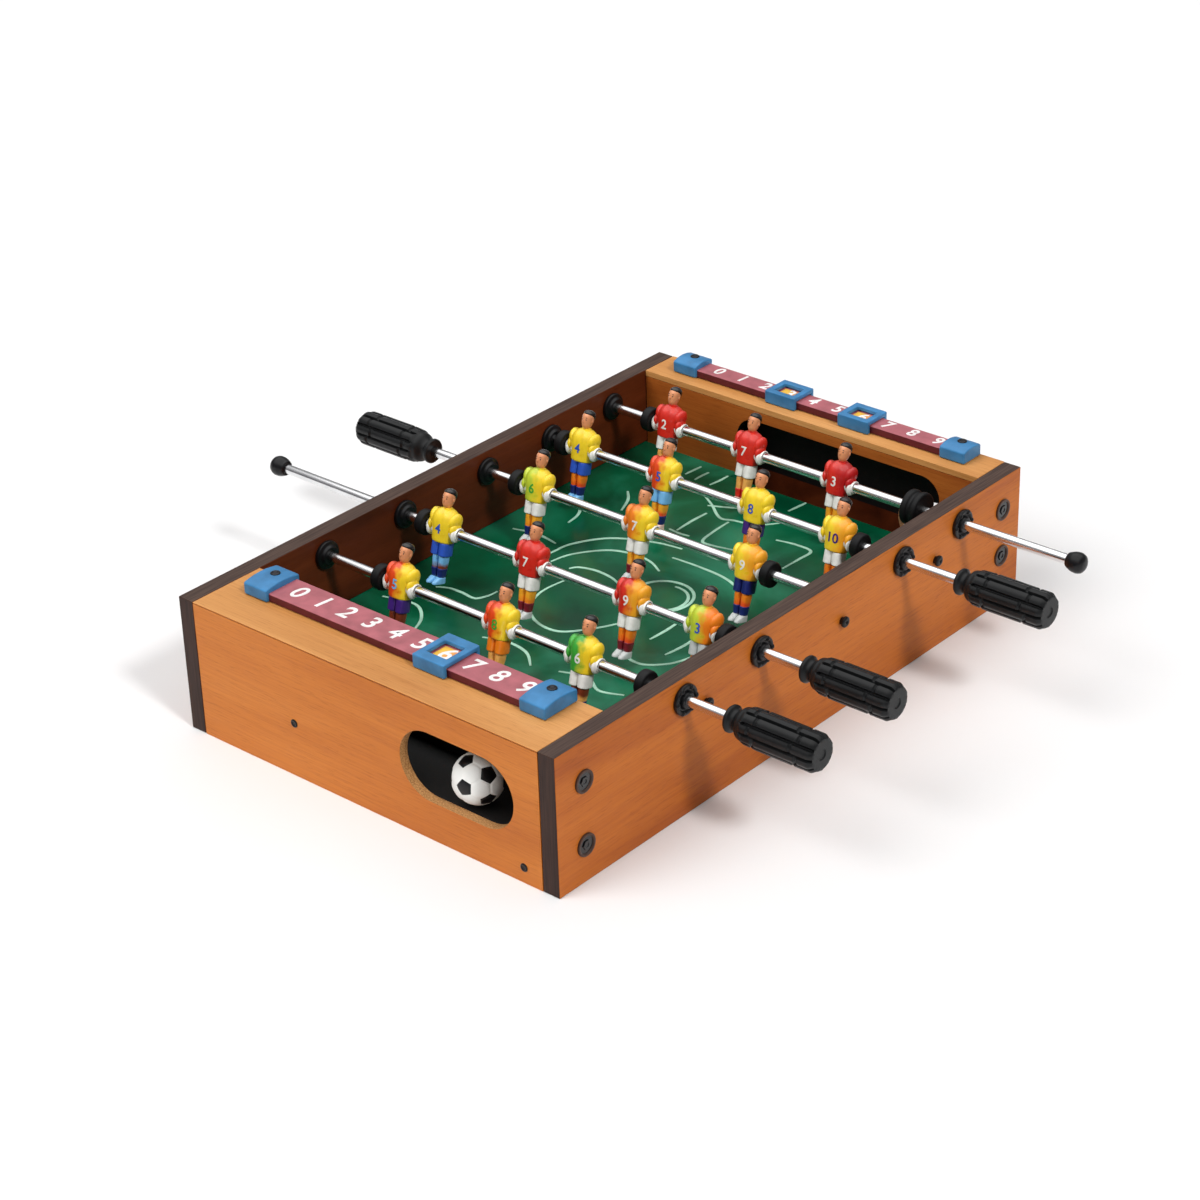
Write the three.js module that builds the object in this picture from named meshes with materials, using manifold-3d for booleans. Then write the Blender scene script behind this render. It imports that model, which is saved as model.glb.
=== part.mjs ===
// Tabletop foosball table, in millimetres, +Z up.
// The origin is on the table top under the middle of the wooden body. +X runs along the rods and
// +Y runs along the pitch, from the front end, which has the ball return, to the rear end.
import * as THREE from 'three';
import { mergeVertices } from 'three/addons/utils/BufferGeometryUtils.js';
import Module from 'manifold-3d';

const wasm = await Module();
wasm.setup();

// ---------- driving dimensions ----------
const BODY_LENGTH = 345;
const BODY_WIDTH = 230;
const BODY_HEIGHT = 70;
const SIDE_BOARD = 9.3;
const TOP_BOARD = 3.2;
const END_PANEL_FRONT = 5;
const END_PANEL_REAR = 3.5;
const GOAL_BOARD_FRONT = 6;
const GOAL_BOARD_REAR = 3.5;
const JOINT_GAP = 0.3;
// Height of the square edge outside the mitre of a top board.
const MITRE_LAND = 0.4;
// How far a cutting tool runs past the face that it cuts through.
const OVERCUT = 1;

const FRONT_WALL_Y = -130.3;
const REAR_WALL_Y = 149.6;
const PITCH_TOP = 28.5;
const PITCH_BOARD = 4;
const GROOVE_DEPTH = 3;
const GOAL = { width: 127, centre: 19.5, top: 61, corner: 11, drop: 6 };

const FRONT_RETURN = { x: 57, z: 37.5, width: 67, height: 35 };
const REAR_RETURN = { x: 64, z: 23, width: 38, height: 28 };
const FRONT_TRAY_TOP = 20.1;
const REAR_TRAY_TOP = 8.3;
const TRAY = 3.2;

const ROD_Z = 59.5;
const ROD_RADIUS = 2.5;
const ROUND_SIDES = 12;
// Radii of the bush, and its gap to the board's faces.
const BUSH = { bore: 2.56, barrel: 5.75, hole: 5.98, inner: 7.2, outer: 7.5, nose: 5, face: 0.15 };
const BUSH_DEPTH = { inner: 4, innerRim: 2.6, outer: 3, outerRim: 2 };
// Where a blind bush and its hole end, across the table.
const BLIND = { bush: 113.7, hole: 114 };
const STOP = { radius: 6.4, length: 5 };
const HANDLE_LENGTH = 49;
const GRIP = { start: 9.6, radius: 9, ribs: 8, bevel: 0.88, endBevel: 1.8 };
// One rib: share of a rib's turn, and depth below the crest.
const RIB_OUTLINE = [[0, 0], [0.6, 0], [0.7, 1.15], [0.9, 1.15]];
// The collar and neck in front of the grip: (distance along the handle, radius).
const GRIP_NECK = [[0, 0], [0, 6.4], [2.2, 6.4], [2.2, 4.9], [4.2, 4.9], [8.6, 7.6], [12, 7.6], [12, 0]];
const HANDLE_BORE = { clearance: 0.1, endWall: 7.6, rodEnd: 8 };
const BALL = { radius: 12, x: 58, y: -159.5 };
const KNOB = { radius: 5.2, depth: 5.2, steps: 4, neck: 4.4, neckRadius: 3.4 };
const END_CAP = { radius: 4.2, depth: 3.2, steps: 3, neck: 0.4, neckRadius: 4.2 };

const SCORE_TOP = 4.2;
const SCORE_LENGTH = 165;
const END_BLOCK = { inner: 77.3, outer: 92.3, height: 7.4, overhang: 1.5, pocket: 5.5, crown: 1.4 };
const SLIDER = { width: 19, height: 6.9, overhang: 2.6, window: 12, rim: 1 };
const FRONT_SCORE = { y: -141.8, depth: 18.4, sliders: [25.2] };
const REAR_SCORE = { y: 163.8, depth: 11.6, sliders: [-21, 25.2] };

// A player figure faces -Y. Heights are measured from the rod's axis.
const HAND_REACH = 10;
const HANDS_RADIUS = 4;
const PLAYER_BORE = 3;
// The trunk and legs, and the neck: (height, radius).
const TRUNK = [[-25, 0], [-25, 3.1], [-13, 4.8], [8, 6.4], [9.6, 2.8], [13, 2.8], [13, 0]];
const TRUNK_FLATNESS = 0.68;
const SHOULDER = { radii: [4.8, 5.8, 5.6], x: 4.4, y: -0.4, z: 4.8 };
const HEAD = { radii: [3.8, 4.2, 5.1], y: -0.4, z: 15.4 };
// The foot's side view: (y, height).
const FOOT = [[3, -27], [2.6, -23], [-2.6, -23], [-5.9, -25.2], [-5.9, -26.4], [-4.6, -27]];
const FOOT_HALF_WIDTH = 3.6;
// At rest the rows are turned a little, with the feet towards the front end.
const LEAN = THREE.MathUtils.degToRad(16);

// Rows stand at least a head's reach and a foot's reach apart, so that figures never touch.
// Each row: its place along the pitch, its players, the kind and place of its rod's two ends, and
// the outer rubber stop where that isn't against a player. A blind end stays inside its board.
const ROWS = [
  { id: 'a', y: 121.7, players: [-66, -14, 42.5], left: ['cap', 120.8], right: ['knob', 180],
    stopRight: { from: 84.5, length: 9, radius: 9 } },
  { id: 'b', y: 73.5, players: [-83, -29.6, 28.5, 77.8], left: ['cap', 120.8], right: ['handle', 148] },
  { id: 'c', y: 25.3, players: [-71, -4.7, 61.3], left: ['handle', 142], right: ['blind', 112] },
  { id: 'd', y: -34.4, players: [-78, -21.5, 40.5, 83], left: ['knob', 191.8], right: ['handle', 141] },
  { id: 'e', y: -88, players: [-55, 8, 58], left: ['cap', 120.8], right: ['handle', 141],
    stopRight: { from: 91 } },
];

// ---------- materials ----------
const finish = (color, roughness, metalness = 0) =>
  new THREE.MeshStandardMaterial({ color, roughness, metalness });
const WOOD = finish(0xc98240, 0.55);
const TOP_WOOD = finish(0xe0ae74, 0.5);
const GREEN = finish(0x0c6b48, 0.25);
const BLACK = finish(0x141414, 0.45);
const CHROME = finish(0xd8d8d8, 0.15, 1);
const BLUE = finish(0x3f86c8, 0.35);
const MAUVE = finish(0xb0707a, 0.4);
const WHITE = finish(0xf0efea, 0.4);
const SHIRTS = { a: finish(0xc8281c, 0.4), b: finish(0xeec030, 0.4), c: finish(0xe89a28, 0.4),
  d: finish(0xd83a24, 0.4), e: finish(0xe06a20, 0.4) };

// ---------- helpers ----------
function solid(geometry) {
  geometry.deleteAttribute('normal');
  geometry.deleteAttribute('uv');
  const merged = mergeVertices(geometry, 1e-4);
  const mesh = new wasm.Mesh({
    numProp: 3,
    vertProperties: new Float32Array(merged.attributes.position.array),
    triVerts: new Uint32Array(merged.index.array),
  });
  return new wasm.Manifold(mesh);
}

function geometryOf(manifold) {
  const mesh = manifold.getMesh();
  const geometry = new THREE.BufferGeometry();
  geometry.setAttribute('position', new THREE.BufferAttribute(mesh.vertProperties, 3));
  geometry.setIndex(new THREE.BufferAttribute(mesh.triVerts, 1));
  geometry.computeVertexNormals();
  return geometry;
}

const cut = (geometry, ...tools) =>
  geometryOf(tools.reduce((body, tool) => body.subtract(solid(tool)), solid(geometry)));

const join = (first, ...others) =>
  others.reduce((body, other) => body.add(solid(other)), solid(first));

function box([x0, x1], [y0, y1], [z0, z1]) {
  const geometry = new THREE.BoxGeometry(x1 - x0, y1 - y0, z1 - z0);
  return geometry.translate((x0 + x1) / 2, (y0 + y1) / 2, (z0 + z1) / 2);
}

const X = new THREE.Vector3(1, 0, 0);
const Y = new THREE.Vector3(0, 1, 0);
const Z = new THREE.Vector3(0, 0, 1);

// A flat outline in (y, z), made solid along +X from x0.
function slabAlongX(shape, x0, thickness, options = {}) {
  const geometry = new THREE.ExtrudeGeometry(shape, { depth: thickness, bevelEnabled: false, ...options });
  return geometry.applyMatrix4(new THREE.Matrix4().makeBasis(Y, Z, X)).translate(x0, 0, 0);
}

// A flat outline in (x, z), made solid along +Y from y0.
function slabAlongY(shape, y0, thickness) {
  const geometry = new THREE.ExtrudeGeometry(shape, { depth: thickness, bevelEnabled: false });
  const back = Y.clone().negate();
  return geometry.applyMatrix4(new THREE.Matrix4().makeBasis(X, Z, back)).translate(0, y0 + thickness, 0);
}

// A turned piece around the X axis; profile points are (x along the axis, radius).
function turned(profile, sides = ROUND_SIDES) {
  const points = profile.map(([x, radius]) => new THREE.Vector2(radius, x));
  return new THREE.LatheGeometry(points, sides).rotateZ(-Math.PI / 2);
}

function rectangle(x0, x1, y0, y1) {
  const shape = new THREE.Shape();
  shape.moveTo(x0, y0).lineTo(x1, y0).lineTo(x1, y1).lineTo(x0, y1).closePath();
  return shape;
}

function roundHole(x, y, radius) {
  const hole = new THREE.Path();
  for (let i = 0; i < ROUND_SIDES; i += 1) {
    const turn = -2 * Math.PI * i / ROUND_SIDES;
    const point = [x + radius * Math.cos(turn), y + radius * Math.sin(turn)];
    if (i === 0) hole.moveTo(...point);
    else hole.lineTo(...point);
  }
  return hole.closePath();
}

// A slot with round ends, for a ball return.
function slotHole({ x, z, width, height }, steps = 8) {
  const hole = new THREE.Path();
  const radius = height / 2;
  const reach = width / 2 - radius;
  for (const side of [1, -1]) {
    for (let i = 0; i <= steps; i += 1) {
      const turn = side * (Math.PI / 2 - Math.PI * i / steps);
      const point = [x + side * (reach + radius * Math.abs(Math.cos(turn))), z + radius * Math.sin(turn)];
      if (side === 1 && i === 0) hole.moveTo(...point);
      else hole.lineTo(...point);
    }
  }
  return hole.closePath();
}

const group = new THREE.Group();

function place(name, geometry, material) {
  const mesh = new THREE.Mesh(geometry, material);
  mesh.name = name;
  group.add(mesh);
  return mesh;
}

// ---------- wooden body ----------
const halfLength = BODY_LENGTH / 2;
const halfWidth = BODY_WIDTH / 2;
const innerX = halfWidth - SIDE_BOARD;
const between = [-innerX + JOINT_GAP, innerX - JOINT_GAP];
const underTop = BODY_HEIGHT - TOP_BOARD - JOINT_GAP;
const frontChamber = [-halfLength + END_PANEL_FRONT, FRONT_WALL_Y - GOAL_BOARD_FRONT];
const rearChamber = [REAR_WALL_Y + GOAL_BOARD_REAR, halfLength - END_PANEL_REAR];

function sideBoard(side) {
  const board = rectangle(-halfLength, halfLength, 0, BODY_HEIGHT);
  const isBlind = (row) => (side < 0 ? row.left : row.right)[0] === 'blind';
  for (const row of ROWS.filter((one) => !isBlind(one))) {
    board.holes.push(roundHole(row.y, ROD_Z, BUSH.hole));
  }
  const bottom = [[innerX - OVERCUT, 0], [innerX - OVERCUT, BUSH.hole], [BLIND.hole, BUSH.hole],
    [BLIND.hole, 0]];
  const blindHoles = ROWS.filter(isBlind).map((row) => turned(bottom).translate(0, row.y, ROD_Z));
  const x0 = side > 0 ? innerX : -halfWidth;
  const grooveX = [side * (innerX - OVERCUT), side * (innerX + GROOVE_DEPTH)].sort((a, b) => a - b);
  const grooveZ = [PITCH_TOP - PITCH_BOARD - JOINT_GAP, PITCH_TOP + JOINT_GAP];
  const groove = box(grooveX, [FRONT_WALL_Y, REAR_WALL_Y], grooveZ);
  return cut(slabAlongX(board, x0, SIDE_BOARD), groove, ...blindHoles);
}

place('side_board_left', sideBoard(-1), WOOD);
place('side_board_right', sideBoard(1), WOOD);

const topZ = [BODY_HEIGHT - TOP_BOARD, BODY_HEIGHT];
const frontMitre = { outer: -halfLength, inner: frontChamber[0] };
const rearMitre = { outer: halfLength, inner: rearChamber[1] };

// The space between a height and the sloping mitre of an end, which meets the outer face below
// edgeZ by the land.
function mitreWedge({ outer, inner }, edgeZ, farZ) {
  const slope = (TOP_BOARD - MITRE_LAND) / (outer - inner);
  const mitreZ = (y) => edgeZ - MITRE_LAND + slope * (y - outer);
  const past = Math.sign(outer) * OVERCUT;
  const shape = new THREE.Shape();
  shape.moveTo(outer + past, mitreZ(outer + past)).lineTo(inner - past, mitreZ(inner - past));
  shape.lineTo(inner - past, farZ).lineTo(outer + past, farZ).closePath();
  return slabAlongX(shape, -halfWidth, BODY_WIDTH);
}

const boardWedge = (mitre) => mitreWedge(mitre, BODY_HEIGHT, topZ[0] - TOP_BOARD);
const frontBoard = box(between, [-halfLength, FRONT_WALL_Y], topZ);
const rearBoard = box(between, [REAR_WALL_Y, halfLength], topZ);
place('top_board_front', cut(frontBoard, boardWedge(frontMitre)), TOP_WOOD);
place('top_board_rear', cut(rearBoard, boardWedge(rearMitre)), TOP_WOOD);

function panel(y0, thickness, hole, height = underTop) {
  const outline = rectangle(between[0], between[1], 0, height);
  outline.holes.push(hole);
  return slabAlongY(outline, y0, thickness);
}

const panelWedge = (mitre) => mitreWedge(mitre, BODY_HEIGHT - JOINT_GAP, BODY_HEIGHT + TOP_BOARD);
const frontPanel = panel(-halfLength, END_PANEL_FRONT, slotHole(FRONT_RETURN), BODY_HEIGHT);
const rearPanel = panel(rearChamber[1], END_PANEL_REAR, slotHole(REAR_RETURN), BODY_HEIGHT);
place('end_panel_front', cut(frontPanel, panelWedge(frontMitre)), WOOD);
place('end_panel_rear', cut(rearPanel, panelWedge(rearMitre)), WOOD);

// The goal's opening, with rounded upper corners; its lower edge lets the ball fall to the tray.
function goalHole(centre, bottom, steps = 4) {
  const hole = new THREE.Path();
  const half = GOAL.width / 2;
  const reach = half - GOAL.corner;
  const arcZ = GOAL.top - GOAL.corner;
  hole.moveTo(centre - half, bottom);
  for (const side of [-1, 1]) {
    for (let i = 0; i <= steps; i += 1) {
      const turn = Math.PI / 2 * (side < 0 ? 2 - i / steps : 1 - i / steps);
      const x = centre + side * reach + GOAL.corner * Math.cos(turn);
      hole.lineTo(x, arcZ + GOAL.corner * Math.sin(turn));
    }
  }
  hole.lineTo(centre + half, bottom);
  return hole.closePath();
}

const rearTrayZ = [REAR_TRAY_TOP - TRAY, REAR_TRAY_TOP];
const frontTrayZ = [FRONT_TRAY_TOP - TRAY, FRONT_TRAY_TOP];
const goalHalf = GOAL.width / 2;
const goalX = [GOAL.centre - goalHalf, GOAL.centre + goalHalf];
const trayUnderPitch = 5;

const frontGoal = goalHole(-GOAL.centre, PITCH_TOP + JOINT_GAP);
const rearGoal = goalHole(GOAL.centre, rearTrayZ[0] - JOINT_GAP);
place('goal_board_front', panel(frontChamber[1], GOAL_BOARD_FRONT, frontGoal), WOOD);
place('goal_board_rear', panel(REAR_WALL_Y, GOAL_BOARD_REAR, rearGoal), WOOD);

// The pitch sits in the grooves of the side boards, cut back in front of the rear goal so that
// the ball can fall behind it.
const pitchX = innerX + GROOVE_DEPTH - JOINT_GAP;
const pitchY = [FRONT_WALL_Y + JOINT_GAP, REAR_WALL_Y - JOINT_GAP];
const pitchZ = [PITCH_TOP - PITCH_BOARD, PITCH_TOP];
const dropY = [pitchY[1] - GOAL.drop, pitchY[1] + OVERCUT];
const dropCut = box(goalX, dropY, [pitchZ[0] - OVERCUT, pitchZ[1] + OVERCUT]);
place('pitch_board', cut(box([-pitchX, pitchX], pitchY, pitchZ), dropCut), GREEN);

const frontTrayY = [frontChamber[0] + JOINT_GAP, frontChamber[1] - JOINT_GAP];
place('ball_tray_front', box(between, frontTrayY, frontTrayZ), BLACK);
const rearTrayX = [goalX[0] + JOINT_GAP, goalX[1] - JOINT_GAP];
const rearTrayY = [dropY[0] - trayUnderPitch, rearChamber[1] - JOINT_GAP];
place('ball_tray_rear', box(rearTrayX, rearTrayY, rearTrayZ), BLACK);

// ---------- score counters ----------
const topOf = (height) => [BODY_HEIGHT + JOINT_GAP, BODY_HEIGHT + JOINT_GAP + height];

function scoreBar({ y, depth }) {
  const half = SCORE_LENGTH / 2;
  return box([-half, half], [y - depth / 2, y + depth / 2], topOf(SCORE_TOP));
}

// A clamp block with a crowned top, pocketed for the end of the bar.
function endBlock({ y, depth }, side) {
  const half = depth / 2 + END_BLOCK.overhang;
  const [bottom, top] = topOf(END_BLOCK.height);
  const outline = new THREE.Shape();
  const steps = 6;
  outline.moveTo(y - half, bottom).lineTo(y + half, bottom);
  for (let i = 0; i <= steps; i += 1) {
    const along = 1 - 2 * i / steps;
    outline.lineTo(y + half * along, top - END_BLOCK.crown * along * along);
  }
  outline.closePath();
  const x0 = side > 0 ? END_BLOCK.inner : -END_BLOCK.outer;
  const body = slabAlongX(outline, x0, END_BLOCK.outer - END_BLOCK.inner);
  const pocketEnd = END_BLOCK.inner + END_BLOCK.pocket;
  const pocketX = [side * (END_BLOCK.inner - OVERCUT), side * pocketEnd].sort((a, b) => a - b);
  const halfBar = depth / 2 + JOINT_GAP;
  const pocketZ = [bottom - OVERCUT, bottom + SCORE_TOP + JOINT_GAP];
  const pocket = box(pocketX, [y - halfBar, y + halfBar], pocketZ);
  return cut(body, pocket);
}

// The counter that slides along the bar: a bridge over it with a square window.
function scoreSlider({ y, depth }, x) {
  const half = SLIDER.width / 2;
  const reach = depth / 2 + SLIDER.overhang;
  const [bottom, top] = topOf(SLIDER.height);
  const body = box([x - half, x + half], [y - reach, y + reach], [bottom, top]);
  const halfBar = depth / 2 + JOINT_GAP;
  const channelTop = bottom + SCORE_TOP + JOINT_GAP;
  const channelX = [x - half - OVERCUT, x + half + OVERCUT];
  const channel = box(channelX, [y - halfBar, y + halfBar], [bottom - OVERCUT, channelTop]);
  const halfWindow = Math.min(SLIDER.window / 2, depth / 2 - SLIDER.rim);
  const windowX = [x - SLIDER.window / 2, x + SLIDER.window / 2];
  const windowZ = [channelTop - OVERCUT, top + OVERCUT];
  const opening = box(windowX, [y - halfWindow, y + halfWindow], windowZ);
  return cut(body, channel, opening);
}

for (const [end, score] of [['front', FRONT_SCORE], ['rear', REAR_SCORE]]) {
  place(`score_bar_${end}`, scoreBar(score), MAUVE);
  place(`score_block_${end}_left`, endBlock(score, -1), BLUE);
  place(`score_block_${end}_right`, endBlock(score, 1), BLUE);
  score.sliders.forEach((x, index) => {
    place(`score_slider_${end}_${index + 1}`, scoreSlider(score, x), BLUE);
  });
}

// ---------- ball ----------
const ball = new THREE.SphereGeometry(BALL.radius, 12, 8);
const ballZ = FRONT_TRAY_TOP + BALL.radius + JOINT_GAP;
place('ball', geometryOf(solid(ball)), WHITE).position.set(BALL.x, BALL.y, ballZ);

// ---------- rods, bushes, handles ----------
// A bush with its wide flange inside the table, for one wall. A blind one has no outer ring.
function bush(side, isBlind) {
  const inside = innerX - BUSH.face;
  const outside = halfWidth + BUSH.face;
  const nose = inside - BUSH_DEPTH.inner;
  const profile = [
    [nose, BUSH.bore],
    [nose, BUSH.nose],
    [inside - BUSH_DEPTH.innerRim, BUSH.inner],
    [inside, BUSH.inner],
    [inside, BUSH.barrel],
  ];
  if (isBlind) {
    profile.push([BLIND.bush, BUSH.barrel], [BLIND.bush, BUSH.bore]);
  } else {
    profile.push(
      [outside, BUSH.barrel],
      [outside, BUSH.outer],
      [outside + BUSH_DEPTH.outerRim, BUSH.outer],
      [outside + BUSH_DEPTH.outer, BUSH.nose],
      [outside + BUSH_DEPTH.outer, BUSH.bore],
    );
  }
  profile.push([nose, BUSH.bore]);
  const geometry = turned(profile);
  return side > 0 ? geometry : geometry.rotateZ(Math.PI);
}

// One end of a rod, drawn towards +X: a pressed-on cap or knob, or the bare end inside its handle
// or its blind bush.
function rodEnd([kind, at]) {
  if (kind === 'handle') {
    const inHandle = at + HANDLE_LENGTH - HANDLE_BORE.rodEnd;
    return [[inHandle, ROD_RADIUS], [inHandle, 0]];
  }
  if (kind === 'blind') return [[at, ROD_RADIUS], [at, 0]];
  const cap = kind === 'knob' ? KNOB : END_CAP;
  const points = [[at - cap.neck, ROD_RADIUS], [at - cap.neck, cap.neckRadius]];
  for (let i = cap.steps - 1; i >= 0; i -= 1) {
    const turn = Math.PI / 2 * i / (cap.steps - 1);
    points.push([at + cap.depth * Math.cos(turn), cap.radius * Math.sin(turn)]);
  }
  return points;
}

// The rod with the rubber stops and the caps that are pressed onto it.
function rodProfile({ left, right }, stops) {
  const profile = rodEnd(left).map(([x, radius]) => [-x, radius]).reverse();
  for (const { from, length, radius } of stops) {
    const to = from + length;
    profile.push([from, ROD_RADIUS], [from, radius], [to, radius], [to, ROD_RADIUS]);
  }
  return profile.concat(rodEnd(right));
}

function handleSolid() {
  const outline = new THREE.Shape();
  for (let rib = 0; rib < GRIP.ribs; rib += 1) {
    for (const [turn, depth] of RIB_OUTLINE) {
      const angle = 2 * Math.PI * (rib + turn) / GRIP.ribs;
      const radius = GRIP.radius - GRIP.bevel - depth;
      const point = [radius * Math.cos(angle), radius * Math.sin(angle)];
      if (rib === 0 && turn === 0) outline.moveTo(...point);
      else outline.lineTo(...point);
    }
  }
  outline.closePath();
  const bevel = {
    bevelEnabled: true, bevelThickness: GRIP.endBevel, bevelSize: GRIP.bevel, bevelSegments: 1 };
  const grip = slabAlongX(outline, GRIP.start, HANDLE_LENGTH - GRIP.start - GRIP.endBevel, bevel);
  const boreRadius = ROD_RADIUS + HANDLE_BORE.clearance;
  const boreEnd = HANDLE_LENGTH - HANDLE_BORE.endWall;
  const bore = turned([[-OVERCUT, 0], [-OVERCUT, boreRadius], [boreEnd, boreRadius], [boreEnd, 0]]);
  return geometryOf(join(grip, turned(GRIP_NECK)).subtract(solid(bore)));
}

// ---------- player figure ----------
const rodThrough = (reach, radius) =>
  turned([[-reach, 0], [-reach, radius], [reach, radius], [reach, 0]], 6);

// One moulded figure around the rod, facing -Y; its own origin is on the rod's axis.
function figure() {
  const points = TRUNK.map(([z, radius]) => new THREE.Vector2(radius, z));
  const trunk = new THREE.LatheGeometry(points, 6);
  trunk.rotateX(Math.PI / 2).rotateZ(Math.PI / 6).scale(1, TRUNK_FLATNESS, 1);
  const shoulder = (side) => new THREE.SphereGeometry(1, 6, 3)
    .scale(...SHOULDER.radii).translate(side * SHOULDER.x, SHOULDER.y, SHOULDER.z);
  const head = new THREE.SphereGeometry(1, 6, 4).rotateX(Math.PI / 2)
    .scale(...HEAD.radii).translate(0, HEAD.y, HEAD.z);
  const hands = rodThrough(HAND_REACH, HANDS_RADIUS);
  const footShape = new THREE.Shape(FOOT.map(([y, z]) => new THREE.Vector2(y, z)));
  const foot = slabAlongX(footShape, -FOOT_HALF_WIDTH, 2 * FOOT_HALF_WIDTH);
  const bore = rodThrough(HAND_REACH + OVERCUT, PLAYER_BORE);
  const body = join(trunk, shoulder(-1), shoulder(1), head, hands, foot);
  return geometryOf(body.subtract(solid(bore)));
}

const grip = handleSolid();
const player = figure();

for (const row of ROWS) {
  for (const [name, side] of [['left', -1], ['right', 1]]) {
    const [kind, at] = row[name];
    const ringNode = place(`bush_${row.id}_${name}`, bush(side, kind === 'blind'), BLACK);
    ringNode.position.set(0, row.y, ROD_Z);
    if (kind === 'handle') {
      const handle = place(`handle_${row.id}`, grip, BLACK);
      handle.position.set(side * at, row.y, ROD_Z);
      handle.rotation.z = side > 0 ? 0 : Math.PI;
    }
  }

  const first = row.players[0] - HAND_REACH - JOINT_GAP;
  const last = row.players[row.players.length - 1] + HAND_REACH + JOINT_GAP;
  const stops = [
    { ...STOP, from: first - STOP.length },
    { ...STOP, from: last, ...row.stopRight },
  ];
  place(`rod_${row.id}`, turned(rodProfile(row, stops)), CHROME).position.set(0, row.y, ROD_Z);

  row.players.forEach((x, index) => {
    const figureNode = place(`player_${row.id}${index + 1}`, player, SHIRTS[row.id]);
    figureNode.position.set(x, row.y, ROD_Z);
    figureNode.rotation.x = -LEAN;
  });
}

export default group;
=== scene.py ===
"""The looks of a tabletop foosball table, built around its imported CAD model.

Shapes are drawn in millimetres in the CAD model's frame, and piece() turns them into metres.
Places come from the boxes of the CAD nodes.
"""
import math

import bmesh
import bpy
from mathutils import Matrix, Vector
from mathutils.bvhtree import BVHTree


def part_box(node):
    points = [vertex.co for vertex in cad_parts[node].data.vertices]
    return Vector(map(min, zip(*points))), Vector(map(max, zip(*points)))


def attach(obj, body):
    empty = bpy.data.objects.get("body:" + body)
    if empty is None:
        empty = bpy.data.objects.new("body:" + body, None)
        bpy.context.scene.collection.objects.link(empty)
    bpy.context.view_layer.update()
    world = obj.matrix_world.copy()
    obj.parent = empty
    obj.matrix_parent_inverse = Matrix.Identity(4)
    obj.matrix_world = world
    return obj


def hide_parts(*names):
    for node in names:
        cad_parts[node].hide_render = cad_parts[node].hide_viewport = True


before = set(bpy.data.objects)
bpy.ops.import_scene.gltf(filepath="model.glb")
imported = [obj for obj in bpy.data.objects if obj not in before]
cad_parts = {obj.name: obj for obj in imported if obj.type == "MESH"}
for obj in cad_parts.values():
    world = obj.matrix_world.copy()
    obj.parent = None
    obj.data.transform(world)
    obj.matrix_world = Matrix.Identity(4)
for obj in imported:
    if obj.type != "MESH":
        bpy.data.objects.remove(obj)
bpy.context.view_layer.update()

MM = 0.001
X_AXIS, Y_AXIS, Z_AXIS = 0, 1, 2


# ---------- places from the CAD model ----------
def box_of(node):
    low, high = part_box(node)
    return low / MM, high / MM


def centre_of(node):
    low, high = box_of(node)
    return (low + high) / 2


# ---------- colours and materials ----------
def srgb(red, green, blue):
    """A colour given as it looks on a screen, 0 to 255, as a linear colour."""
    def linear(value):
        value /= 255
        return value / 12.92 if value <= 0.04045 else ((value + 0.055) / 1.055) ** 2.4
    return linear(red), linear(green), linear(blue), 1.0


class Paint:
    """One node material, built in short steps. Its places are metres in the piece's own frame."""

    def __init__(self, name, roughness, **sockets):
        self.material = bpy.data.materials.new(name)
        self.material.use_nodes = True
        self.tree = self.material.node_tree
        self.shader = self.tree.nodes["Principled BSDF"]
        self.shader.inputs["Roughness"].default_value = roughness
        for socket, value in sockets.items():
            self.shader.inputs[socket.replace("_", " ")].default_value = value

    def node(self, kind, inputs=(), **settings):
        """A new node. The inputs are a dict of socket and value."""
        node = self.tree.nodes.new("ShaderNode" + kind)
        for key, value in settings.items():
            setattr(node, key, value)
        for socket, value in dict(inputs).items():
            self.feed(node.inputs[socket], value)
        return node

    def feed(self, socket, value):
        if isinstance(value, bpy.types.NodeSocket):
            self.tree.links.new(value, socket)
        else:
            socket.default_value = value

    def place(self, stretch=(1, 1, 1)):
        place = self.node("TexCoord").outputs["Object"]
        return self.node("Mapping", {"Vector": place, "Scale": stretch}).outputs["Vector"]

    def noise(self, place, scale, detail=3.0, distortion=0.0):
        inputs = {"Vector": place, "Scale": scale, "Detail": detail, "Distortion": distortion}
        return self.node("TexNoise", inputs).outputs["Fac"]

    def ramp(self, value, *stops):
        """Stops are (position, colour), from low to high."""
        node = self.node("ValToRGB", {"Fac": value})
        elements = node.color_ramp.elements
        elements[0].position, elements[0].color = stops[0]
        elements[1].position, elements[1].color = stops[-1]
        for position, colour in stops[1:-1]:
            elements.new(position).color = colour
        return node.outputs["Color"]

    def mix(self, factor, first, second, blend="MIX"):
        inputs = {0: factor, 6: first, 7: second}
        return self.node("Mix", inputs, data_type="RGBA", blend_type=blend).outputs[2]

    def add(self, first, second):
        return self.node("Math", {0: first, 1: second}, operation="ADD").outputs[0]

    def spread(self, value, low, high, start=0.0, end=1.0):
        inputs = {"Value": value, "From Min": start, "From Max": end, "To Min": low, "To Max": high}
        return self.node("MapRange", inputs).outputs["Result"]

    def coordinate(self, axis):
        return self.node("SeparateXYZ", {0: self.place()}).outputs[axis]

    def colour(self, value):
        self.feed(self.shader.inputs["Base Color"], value)

    def roughness(self, value):
        self.feed(self.shader.inputs["Roughness"], value)

    def bump(self, height, distance, strength=1.0):
        node = self.node("Bump", {"Height": height, "Distance": distance, "Strength": strength})
        self.feed(self.shader.inputs["Normal"], node.outputs["Normal"])


def shade(colour, amount):
    """The colour made darker, below 1, or lighter, above 1."""
    return tuple(min(1.0, channel * amount) for channel in colour[:3]) + (1.0,)


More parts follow.
